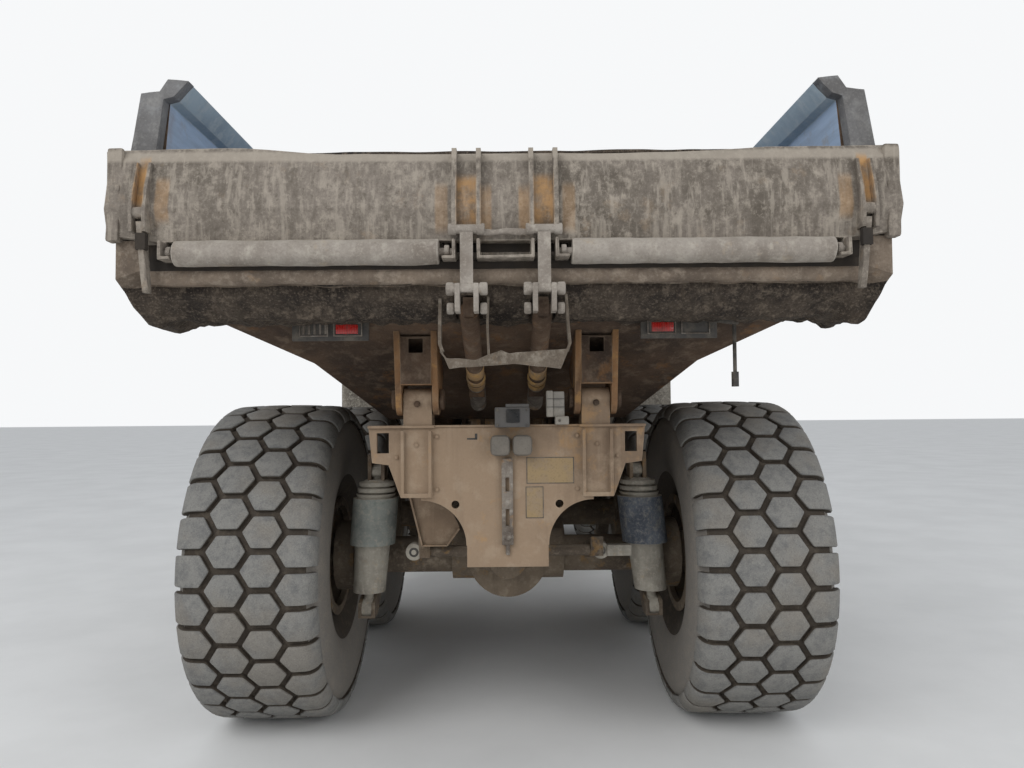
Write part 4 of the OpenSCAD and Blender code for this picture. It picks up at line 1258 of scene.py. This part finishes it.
    def top_strip(self) -> None:
        """Adds the dark uneven edge of dirt along the gate's top."""
        bm = slabs(self.face_y, [(-1.10, 1.10, -0.016, -0.002, self.top - 0.004, self.top + 0.011, 0.003)])
        slices(bm, 0, -1.09, 1.09, 0.03)
        rough_up(bm.verts, 0.006, 7.0, 8.0)
        self.add(bm, "gate_edge_dirt", self.finishes.beam)


def stretch_post(v: bmesh.types.BMVert) -> None:
    """Moves a vertex of a side's upper end up, and backwards where it is at the tail.

    Args:
        v: the vertex.
    """
    if v.co.y < REAR_AXLE_Y - 1.0:
        v.co.y -= POST_BACK * ramp(v.co.z - 2.54, 0.26)
    high = ramp(v.co.z - 2.9, 0.2)
    push(v, -0.010 * high)
    v.co.z += POST_RISE * high


@dataclass
class TailBeam(Assembly):
    """The box across the tail with its crust of mud, the lip bar and the posts of the sides."""

    post_z: float = 2.60
    lip_z: float = 2.354
    crust_z: float = 2.405
    chamfer_x: float = 1.45

    def build(self) -> None:
        """Works the node and roughens its underside; posts and lip bar take lighter finishes than the
        underside.
        """
        beam = self.forge.reforge("bed_tail_beam", self.finishes.beam, 0.006, self.crust)
        self.forge.paint(beam, self.finishes.post, lambda face: face.center.z > self.post_z)
        self.forge.paint(beam, self.finishes.lip, lambda face: self.lip_z < face.center.z <= self.post_z
                         and face.center.y < REAR_AXLE_Y - 1.60)

    def crust(self, bm: BMesh) -> None:
        """Draws the lower corners in, lays lumps of mud below and lets the lower edges hang unevenly."""
        mark = bm.faces.layers.float[WEAR]
        for face in bm.faces:
            if face.calc_center_median().z < 2.38:
                face[mark] = 0.0
        slices(bm, 2, self.post_z, 2.91, 0.10)
        for v in bm.verts:
            out = abs(v.co.x) - self.chamfer_x
            if out > 0 and 2.3 < v.co.z < 2.56:
                push(v, -out * 0.27)
                if out > 0.1 and v.co.z < 2.43:
                    v.co.z -= 0.042
            stretch_post(v)
        slices(bm, 0, -1.60, 1.60, 0.022)
        slices(bm, 1, -5.44, -5.0, 0.05)
        slices(bm, 2, 2.22, 2.40, 0.045)
        low = [v for v in bm.verts if v.co.z < self.crust_z]
        rough_up(low, 0.010, 9.0, 3.0, lambda p: ramp(self.crust_z - p.z, 0.05))
        for v in low:
            depth = ramp(2.33 - v.co.z, 0.08)
            hang = noise.noise(Vector((v.co.x * 13.0, v.co.y * 9.0, 0.0))) + 0.5 * noise.noise(
                Vector((v.co.x * 37.0, v.co.y * 25.0, 4.0)))
            v.co.z -= depth * max(-0.008, hang * 0.024)
            v.co.z -= 0.026 * depth * ramp(abs(v.co.x) - 1.455, 0.05)
        rough_up([v for v in bm.verts if v.co.z >= self.crust_z], 0.002, 16.0, 5.0)


@dataclass
class Guard(Assembly):
    """The bent sheet loop behind the bed's hinge, with its wavy lower flange."""

    def build(self) -> None:
        """Works the node and bends it."""
        self.forge.reforge("bed_guard", self.finishes.guard, 0.0025, self.bend)

    def bend(self, bm: BMesh) -> None:
        """Buckles the flange and the free edges as knocks have left them."""
        slices(bm, 0, -0.28, 0.28, 0.02)
        slices(bm, 2, 2.06, 2.34, 0.03)
        for v in bm.verts:
            low = ramp(2.20 - v.co.z, 0.15)
            v.co.z += low * 0.003 * noise.noise(Vector((v.co.x * 22.0, 0.3, 1.9)))
            v.co.y += low * 0.006 * noise.noise(Vector((v.co.x * 9.0, v.co.z * 9.0, 7.0)))
            v.co.x += 0.005 * noise.noise(Vector((v.co.z * 8.0, v.co.x * 2.0, 3.0)))


@dataclass
class BedShell(Assembly):
    """The load body: floor, sides, headboard, rails and flaps; steel inside is scoured, outside muddy."""

    body: str = "bed"
    inside: tuple[str, ...] = ("bed_floor", "bed_side_left", "bed_side_right", "bed_headboard")
    load_middle: RGB = (0.0, -2.6, 3.0)
    rod_x: float = 0.158
    rod_low: tuple[float, float] = (-1.60, 2.265)
    rod_high: tuple[float, float] = (-0.72, 1.945)

    def build(self) -> None:
        """Works the nodes and parts inner from outer faces."""
        f = self.finishes
        for node in self.inside:
            piece = self.forge.reforge(node, f.under, 0.005, self.raise_rails)
            self.forge.paint(piece, f.sheet, self.faces_in)
            self.forge.paint(piece, f.rail, lambda face: face.center.z > RAIL_Z)
        rails = self.forge.reforge("bed_rails", f.under, 0.004)
        self.forge.paint(rails, f.hinge, lambda face: self.is_hinge(face.center))
        self.forge.reforge("gate_rods", f.under, 0.004)
        self.forge.reforge("bed_flaps", f.flap, 0.002, self.widen_flaps)
        self.hinge_pins()
        self.rod_parts()

    def widen_flaps(self, bm: BMesh) -> None:
        """Brings the flaps out to the width of the tyres behind them."""
        for v in bm.verts:
            if abs(v.co.x) > 1.5:
                push(v, 0.10)

    def raise_rails(self, bm: BMesh) -> None:
        """Lifts the top of the sides with their posts."""
        for v in bm.verts:
            if v.co.y < REAR_AXLE_Y + 4.0 and abs(v.co.x) > 1.30:
                stretch_post(v)

    def faces_in(self, face: bpy.types.MeshPolygon) -> bool:
        """Whether a face of the shell looks into the load space."""
        at, normal = face.center, face.normal
        return (normal.dot(Vector(self.load_middle) - at) > 0 and normal.z > -0.2 and abs(at.x) < 1.506
                and at.y < -0.17)

    def is_hinge(self, at: Vector) -> bool:
        """Whether a point of the rails is on the hinge cheeks, which have kept their paint."""
        return at.y < REAR_AXLE_Y - 0.93 and (at.z < 1.997 or not 0.366 < abs(at.x) < 0.514) and at.z < 2.2

    def hinge_pins(self) -> None:
        """Adds pin heads and bolts at the bed's hinge."""
        bm = blank()
        for side in SIDES:
            for x in (0.322, 0.558):
                rod(bm, (side * x, -1.0 + REAR_AXLE_Y, 1.885), 0.052, 0.022, Axis.X, 24, 0.005)
            bolt(bm, (side * 0.441, -1.062 + REAR_AXLE_Y, 1.862), 0.012)
        self.add(bm, "hinge_pins", self.finishes.under)

    def rod_parts(self) -> None:
        """Adds the collars and the bare ends of the gate's rods."""
        collars, ends = blank(), blank()
        for side in SIDES:
            low, high = (Vector((side * self.rod_x, y, z)) for y, z in (self.rod_low, self.rod_high))
            lean = (high - low).to_track_quat("Z", "Y").to_matrix().to_4x4()
            for bm, share, radius, length in ((collars, 0.72, 0.046, 0.085), (collars, 0.83, 0.050, 0.030),
                                              (collars, 0.90, 0.047, 0.040), (ends, 1.08, 0.044, 0.30)):
                at = low.lerp(high, share) + Vector((0.0, REAR_AXLE_Y, 0.0))
                bmesh.ops.create_cone(bm, cap_ends=True, segments=28, radius1=radius, radius2=radius,
                                      depth=length, matrix=Matrix.Translation(at) @ lean)
        self.add(collars, "rod_collars", self.finishes.ochre)
        self.add(ends, "rod_ends", self.finishes.bare)


@dataclass
class TailLamps(Assembly):
    """The lamp plates beside the bed's belly: a louvred dark lamp and a red one."""

    body: str = "bed"
    y: float = REAR_AXLE_Y - 1.242
    shift: tuple[float, float] = (0.052, -0.062)
    rise: float = 0.012
    low: float = 2.180
    high: float = 2.246

    def shift_plates(self, bm: BMesh) -> None:
        """Moves the plates to their places; the marker stalk keeps its own."""
        left = set(bm.verts)
        while left:
            part, edge = set(), {left.pop()}
            while edge:
                part |= edge
                edge = {e.other_vert(v) for v in edge for e in v.link_edges} - part
            left -= part
            if min(abs(v.co.x) for v in part) < 1.0:
                for v in (v for v in part if v.co.x < 1.072 and v.co.z > 2.13):
                    v.co.x += self.shift[v.co.x >= 0]
                    v.co.z += self.rise

    def build(self) -> None:
        """Dresses the plates and adds frames, louvres and lenses."""
        plates = self.forge.reforge("bed_lamps", self.finishes.dark, 0.003, self.shift_plates)
        self.forge.paint(plates, self.finishes.black, lambda face: face.center.z < 2.145)
        frames, lenses = [], []
        for side, slide in zip(SIDES, self.shift):
            for near, far in ((0.890, 1.020), (0.730, 0.860)):
                a, b = side * near + slide, side * far + slide
                frames += [(a, b, -0.006, 0.0, z, z + 0.006, 0.002) for z in (self.low, self.high - 0.006)]
                frames += [(x - 0.003, x + 0.003, -0.006, 0.0, self.low, self.high, 0.002) for x in (a, b)]
            a, b = sorted((side * 0.748 + slide, side * 0.852 + slide))
            lenses += [(a, b, -0.004, 0.002, 2.192, 2.236, 0.006),
                       (a + 0.048, a + 0.053, -0.006, 0.001, 2.190, 2.238, 0.001)]
        for i in range(5):
            x = self.shift[0] - 1.008 + i * 0.026
            frames.append((x, x + 0.011, -0.006, 0.0, 2.190, 2.238, 0.002))
        self.add(slabs(self.y, frames), "lamp_frames", self.finishes.bare)
        self.add(slabs(self.y, lenses), "lamp_lenses", self.finishes.red)


@dataclass
class RearPlate(Assembly):
    """The frame's end plate with its channels, lips, blank label plates and bolts."""

    bolts: tuple[tuple[float, float], ...] = ((0.345, 1.44), (0.345, 1.70), (0.545, 1.60), (0.445, 1.66))
    plates: tuple[tuple[float, ...], ...] = ((0.095, 1.466, 0.328, 1.595), (0.090, 1.297, 0.177, 1.451))
    line: float = 0.0035

    def build(self) -> None:
        """Works the node and adds what is welded or bolted on."""
        f = self.finishes
        self.forge.reforge("rear_plate", f.plate, 0.004)
        lips = []
        for side, start in zip(SIDES, (0.06, 0.112)):
            lips += [(side * start, side * 0.684, -0.010, 0.0, 1.746, 1.757, 0.003),
                     (side * 0.355, side * 0.684, -0.020, 0.0, 1.743, 1.757, 0.004)]
        bm = slabs(PLATE_Y, lips)
        for side in SIDES:
            for x, z in self.bolts:
                bolt(bm, (side * x, PLATE_Y - 0.002, z), 0.009)
        self.add(bm, "plate_lips", f.plate)
        bm = slabs(PLATE_Y, ((-0.197, -0.146, -0.0008, 0.001, 1.684, 1.692, 0.0),
                             (-0.158, -0.146, -0.0008, 0.001, 1.690, 1.714, 0.0)))
        # Painted shade: black discs on the plate stand in for the dark inside the lugs' holes.
        for side in SIDES:
            rod(bm, (side * 0.437, PLATE_Y + 0.001, 1.882), 0.014, 0.006, Axis.Y, 20, 0.002)
        self.add(bm, "lug_eyes", f.black)
        self.labels()

    def labels(self) -> None:
        """Adds the two worn blank label plates on the right, each with a border."""
        grounds, borders = [], []
        for x0, z0, x1, z1 in self.plates:
            grounds.append((x0, x1, -0.002, 0.001, z0, z1, 0.001))
            borders += [(a, b, -0.0028, -0.001, c, d, 0.0) for a, b, c, d in (
                (x0, x1, z0, z0 + self.line), (x0, x1, z1 - self.line, z1),
                (x0, x0 + self.line, z0, z1), (x1 - self.line, x1, z0, z1))]
        self.add(slabs(PLATE_Y, grounds), "blank_labels", self.finishes.label)
        self.add(slabs(PLATE_Y, borders), "label_borders", self.finishes.dark)


@dataclass
class TowGear(Assembly):
    """The camera box, the two rubber buffers and the slotted strap under them."""

    def build(self) -> None:
        """Stands rounded parts in for the node, with the valve blocks beside the camera box."""
        f = self.finishes
        box = slabs(PLATE_Y, ((-0.058, 0.110, -0.110, 0.0, 1.745, 1.842, 0.006),
                              (-0.006, 0.108, -0.110, -0.010, 1.842, 1.858, 0.004)))
        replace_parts(self.add(box, "camera_box", f.box), "tow_gear")
        valves = ((0.195, 0.228, -0.030, 0.03, 1.793, 1.922, 0.005),
                  (0.228, 0.284, -0.020, 0.03, 1.793, 1.918, 0.005),
                  (0.237, 0.304, -0.040, 0.03, 1.755, 1.796, 0.005))
        self.add(slabs(PLATE_Y, valves), "valve_blocks", f.valve)
        buffers = [(x - 0.048, x + 0.048, -0.080, 0.0, 1.606, 1.706, 0.024) for x in (-0.033, 0.075)]
        self.add(slabs(PLATE_Y, buffers), "buffers", f.buffer)
        rails = [(x - 0.0095, x + 0.0095, -0.024, 0.0, 1.170, 1.590, 0.003) for x in (-0.0185, 0.0185)]
        bridges = [(-0.020, 0.020, -0.023, 0.0, low, high, 0.003) for low, high in (
            (1.170, 1.262), (1.345, 1.430), (1.498, 1.592))]
        self.add(slabs(PLATE_Y, rails + bridges), "slotted_strap", f.bare)
        bm = slabs(PLATE_Y, [(-0.002, 0.062, -0.119, -0.109, 1.768, 1.832, 0.004)])
        rod(bm, (0.030, PLATE_Y - 0.1205, 1.800), 0.021, 0.004, Axis.Y, 28, 0.001)
        self.add(bm, "camera_eye", f.eye)
        bm = slabs(PLATE_Y, [(0.196, 0.283, -0.032, -0.026, z, z + 0.003, 0.0) for z in (1.84, 1.88)])
        for x, back, z in ((-0.045, 0.111, 1.755), (0.097, 0.111, 1.755), (-0.045, 0.111, 1.828),
                           (0.097, 0.111, 1.828), (0.258, 0.041, 1.775)):
            bolt(bm, (x, PLATE_Y - back, z), 0.005)
        self.add(bm, "camera_screws", f.dark)
        self.strap_fittings()

    def strap_fittings(self) -> None:
        """Adds the strap's clips, its stud and its tail."""
        bm = slabs(PLATE_Y, ((-0.027, 0.027, -0.0265, -0.020, 1.345, 1.430, 0.003),
                             (-0.027, 0.027, -0.0265, -0.020, 1.575, 1.592, 0.003),
                             (-0.010, 0.010, -0.018, -0.002, 1.120, 1.180, 0.006)))
        rod(bm, (0.0, PLATE_Y - 0.026, 1.215), 0.020, 0.012, Axis.Y, 20, 0.004)
        self.add(bm, "strap_fittings", self.finishes.bare)


@dataclass
class Chassis(Assembly):
    """Frames, axles, struts and links of both units."""

    ear_x: float = 0.8
    foot: tuple[float, float] = (0.020, 0.045)
    head: float = -0.038
    strut_ys: tuple[float, float] = (-0.3, 2.238)
    rod_ys: tuple[float, float] = (-0.430, 2.368)
    rod_z: float = 1.030
    rod_cad_z: float = 1.055
    rod_share: float = 0.76
    cad_steps: tuple[float, ...] = (0.69, 0.80, 1.07, 1.29, 1.40, 1.47)
    real_steps: tuple[float, ...] = (0.69, 0.78, 1.055, 1.325, 1.43, 1.47)
    gusset: tuple[tuple[float, float], ...] = ((-0.560, 1.400), (-0.480, 1.075), (-0.340, 1.075),
                                               (-0.270, 1.170), (-0.380, 1.400))

    def near(self, ys: Iterable[float], v: bmesh.types.BMVert) -> float:
        """The place along y, among some that are told from the rear axle, that is nearest to a vertex."""
        return REAR_AXLE_Y + min(ys, key=lambda y: abs(v.co.y - REAR_AXLE_Y - y))

    def in_ears(self, v: bmesh.types.BMVert) -> bool:
        """Whether a vertex is between the outer faces of a strut's ears."""
        return abs(abs(v.co.x) - self.ear_x) < 0.055

    def lean_struts(self, bm: BMesh) -> None:
        """Gives the struts their real girth and steps and leans them out at the foot."""
        low, high = self.cad_steps[0], self.cad_steps[-1]
        steps = list(zip(self.cad_steps, self.cad_steps[1:], self.real_steps, self.real_steps[1:]))
        for v in bm.verts:
            side = math.copysign(1.0, v.co.x)
            x, y = side * self.ear_x, self.near(self.strut_ys, v)
            girth = 1.10 if 1.06 < v.co.z < 1.292 else 1.22 if 1.0 < v.co.z < 1.39 else 1.0
            v.co.x, v.co.y = x + (v.co.x - x) * girth, y + (v.co.y - y) * girth
            for z0, z1, to0, to1 in steps:
                if z0 <= v.co.z < z1:
                    v.co.z = to0 + (v.co.z - z0) * (to1 - to0) / (z1 - z0)
                    break
            foot = self.foot[v.co.x > 0]
            push(v, foot + (self.head - foot) * (v.co.z - low) / (high - low))

    def move_feet(self, bm: BMesh) -> None:
        """Moves the axles' ears with the struts' lower eyes."""
        for v in bm.verts:
            if self.in_ears(v):
                push(v, self.foot[v.co.x > 0])

    def move_heads(self, bm: BMesh) -> None:
        """Moves the frame's ears with the struts' upper eyes."""
        for v in bm.verts:
            if self.in_ears(v) and v.co.z > 1.39:
                push(v, self.head)

    def thin_rods(self, bm: BMesh) -> None:
        """Draws the cross rods down to their real thickness and height."""
        for v in bm.verts:
            y = self.near(self.rod_ys, v)
            if abs(v.co.z - self.rod_cad_z) < 0.05 and abs(v.co.x) < 0.48 and abs(v.co.y - y) < 0.05:
                v.co.z = self.rod_z + (v.co.z - self.rod_cad_z) * self.rod_share
                v.co.y = y + (v.co.y - y) * self.rod_share
                push(v, 0.03)

    def cross_rods(self) -> None:
        """Adds the ring eyes of the cross rods, their pins and the gusset that holds the left one."""
        bm, pins = blank(), blank()
        for at in self.rod_ys:
            for x in (-0.532, 0.528):
                place = (x, at + REAR_AXLE_Y, self.rod_z)
                rod(bm, place, 0.048, 0.068, Axis.Y, 28, 0.008)
                rod(pins, place, 0.027, 0.072, Axis.Y, 20, 0.002)
                rod(bm, place, 0.015, 0.078, Axis.Y, 12, 0.003)
        y = self.rod_ys[0] + REAR_AXLE_Y - 0.046
        block(bm, (0.56, y, 1.000), (0.70, y + 0.06, 1.062), 0.006)
        self.add(bm, "rod_eyes", self.finishes.strut_foot)
        self.add(pins, "rod_pins", self.finishes.black)
        bm = blank()
        prism(bm, self.gusset, y - 0.012, y)
        for start, end in zip(self.gusset[:4], self.gusset[1:4]):
            strip(bm, start, end, y - 0.040, y, 0.010)
        self.add(bm, "rod_gusset", self.finishes.plate)

    def build(self) -> None:
        """Works each node with its finish."""
        f, forge = self.finishes, self.forge
        forge.reforge("rear_frame", f.frame, 0.006, self.move_heads)
        forge.reforge("bogie_axles", f.axle, 0.008, self.move_feet)
        forge.reforge("bogie_links", f.axle, 0.007, self.thin_rods)
        for node, finish, bevel in (("hitch", f.frame, 0.008), ("front_frame", f.frame, 0.006),
                                    ("front_axle", f.axle, 0.008), ("engine", f.dark, 0.010)):
            forge.reforge(node, finish, bevel)
        struts = forge.reforge("bogie_struts", f.strut, 0.006, self.lean_struts)
        forge.paint(struts, f.strut_right, lambda face: face.center.x > 0.0)
        forge.paint(struts, f.strut_foot, lambda face: not 1.050 <= face.center.z <= 1.322)
        self.cross_rods()
        for node in ("tip_barrels", "steer_barrel_left", "steer_barrel_right"):
            forge.reforge(node, f.black, 0.003)
        for node in ("tip_rods", "steer_rod_left", "steer_rod_right"):
            forge.dress(node, f.chrome)


@dataclass
class FrontUnit(Assembly):
    """Cab, hood and the parts round them."""

    def build(self) -> None:
        """Works each node with its finish."""
        f = self.finishes
        for node, finish, bevel in (("cab_shell", f.paint, 0.012), ("cab_roof", f.paint, 0.030),
                                    ("cab_door", f.paint, 0.008), ("front_fenders", f.paint, 0.006),
                                    ("side_tanks", f.paint, 0.020), ("hood", f.paint, 0.016),
                                    ("grille", f.black, 0.005), ("front_bumper", f.black, 0.014),
                                    ("cab_steps", f.black, 0.004), ("mirrors", f.black, 0.012),
                                    ("exhaust", f.dark, 0.006), ("cab_seat", f.cloth, 0.020),
                                    ("front_lamps", f.clear, 0.012)):
            self.forge.reforge(node, finish, bevel)
        for node in ("cab_glass", "door_glass"):
            self.forge.dress(node, f.glass)


# The studio


@dataclass
class Studio:
    """The pale floor, the soft light and the camera behind the truck; angles are in degrees."""

    camera_at: RGB = (0.0, -8.709, 1.819)
    pitch: float = 2.08
    roll: float = 0.5
    yaw: float = 0.41
    lens: float = 27.035
    film: float = 36.0
    reach: float = 120.0
    backdrop: tuple[float, ...] = (0.93, 0.94, 0.95, 1.0)
    sky: tuple[float, ...] = (0.93, 0.96, 1.0, 1.0)
    sky_light: float = 0.62

    def build(self) -> None:
        """Makes the floor, the world, the lamps and the camera."""
        self.floor()
        self.world()
        self.lamp("key", (-7.0, -15.0, 9.5), (0.0, -4.5, 1.6), 9.0, 900.0)
        self.lamp("fill", (9.0, -13.0, 5.0), (0.0, -4.0, 1.4), 8.0, 330.0)
        self.camera()

    def floor(self) -> None:
        """Adds a wide pale floor with a faint grain."""
        bm = bmesh.new()
        bmesh.ops.create_grid(bm, x_segments=2, y_segments=2, size=self.reach)
        mesh = settle(bm, "floor")
        mesh.materials.append(PaleFloor().make())
        link("floor", mesh)

    def world(self) -> None:
        """Lights the scene softly from all round; the camera sees a pale backdrop."""
        world = bpy.data.worlds.new("studio")
        bpy.context.scene.world = world
        world.use_nodes = True
        tree = world.node_tree
        seen = tree.nodes["Background"]
        lit, path, both, pick = (tree.nodes.new("ShaderNode" + kind) for kind in (
            "Background", "LightPath", "Math", "MixShader"))
        seen.inputs[0].default_value, seen.inputs[1].default_value = self.backdrop, 1.0
        lit.inputs[0].default_value, lit.inputs[1].default_value = self.sky, self.sky_light
        both.operation = "MAXIMUM"
        for source, target in ((path.outputs["Is Camera Ray"], both.inputs[0]),
                               (path.outputs["Is Transmission Ray"], both.inputs[1]),
                               (both.outputs[0], pick.inputs[0]), (lit.outputs[0], pick.inputs[1]),
                               (seen.outputs[0], pick.inputs[2]),
                               (pick.outputs[0], tree.nodes["World Output"].inputs[0])):
            tree.links.new(source, target)

    def lamp(self, name: str, at: Sequence[float], to: Sequence[float], size: float, power: float) -> None:
        """Adds a soft square lamp.

        Args:
            name: its name.
            at: its place.
            to: the point that it faces.
            size: its side in metres.
            power: its power in watts.
        """
        light = bpy.data.lights.new(name, "AREA")
        light.size, light.energy = size, power
        lamp = link(name, light)
        lamp.location = at
        lamp.rotation_euler = (Vector(to) - Vector(at)).to_track_quat("-Z", "Y").to_euler()

    def camera(self) -> None:
        """Sets the camera where the photograph was taken from."""
        data = bpy.data.cameras.new("camera")
        data.lens, data.sensor_width, data.clip_end = self.lens, self.film, 500.0
        camera = link("camera", data)
        yaw, pitch, roll = (math.radians(angle) for angle in (-self.yaw, self.pitch, self.roll))
        turn = Matrix.Rotation(yaw, 3, "Z") @ Matrix.Rotation(pitch, 3, "X")
        c, s = math.cos(roll), math.sin(roll)
        right, up, back = turn @ Vector((c, 0, -s)), turn @ Vector((s, 0, c)), turn @ Vector((0, -1, 0))
        basis = Matrix((right, up, back)).transposed().to_4x4()
        camera.matrix_world = Matrix.Translation(self.camera_at) @ basis
        bpy.context.scene.camera = camera
        bpy.context.scene.view_settings.view_transform = "Standard"


def main() -> None:
    """Loads the frame, dresses the truck and sets the studio."""
    logging.basicConfig(level=logging.INFO, format="%(name)s: %(message)s")
    noise.seed_set(SEED)
    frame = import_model()
    forge, finishes = Forge(frame), Finishes()
    for assembly in (Wheels, Tailgate, TailBeam, Guard, BedShell, TailLamps, RearPlate, TowGear, Chassis,
                     FrontUnit):
        assembly(forge, finishes).build()
    Studio().build()


if __name__ == "__main__":
    main()
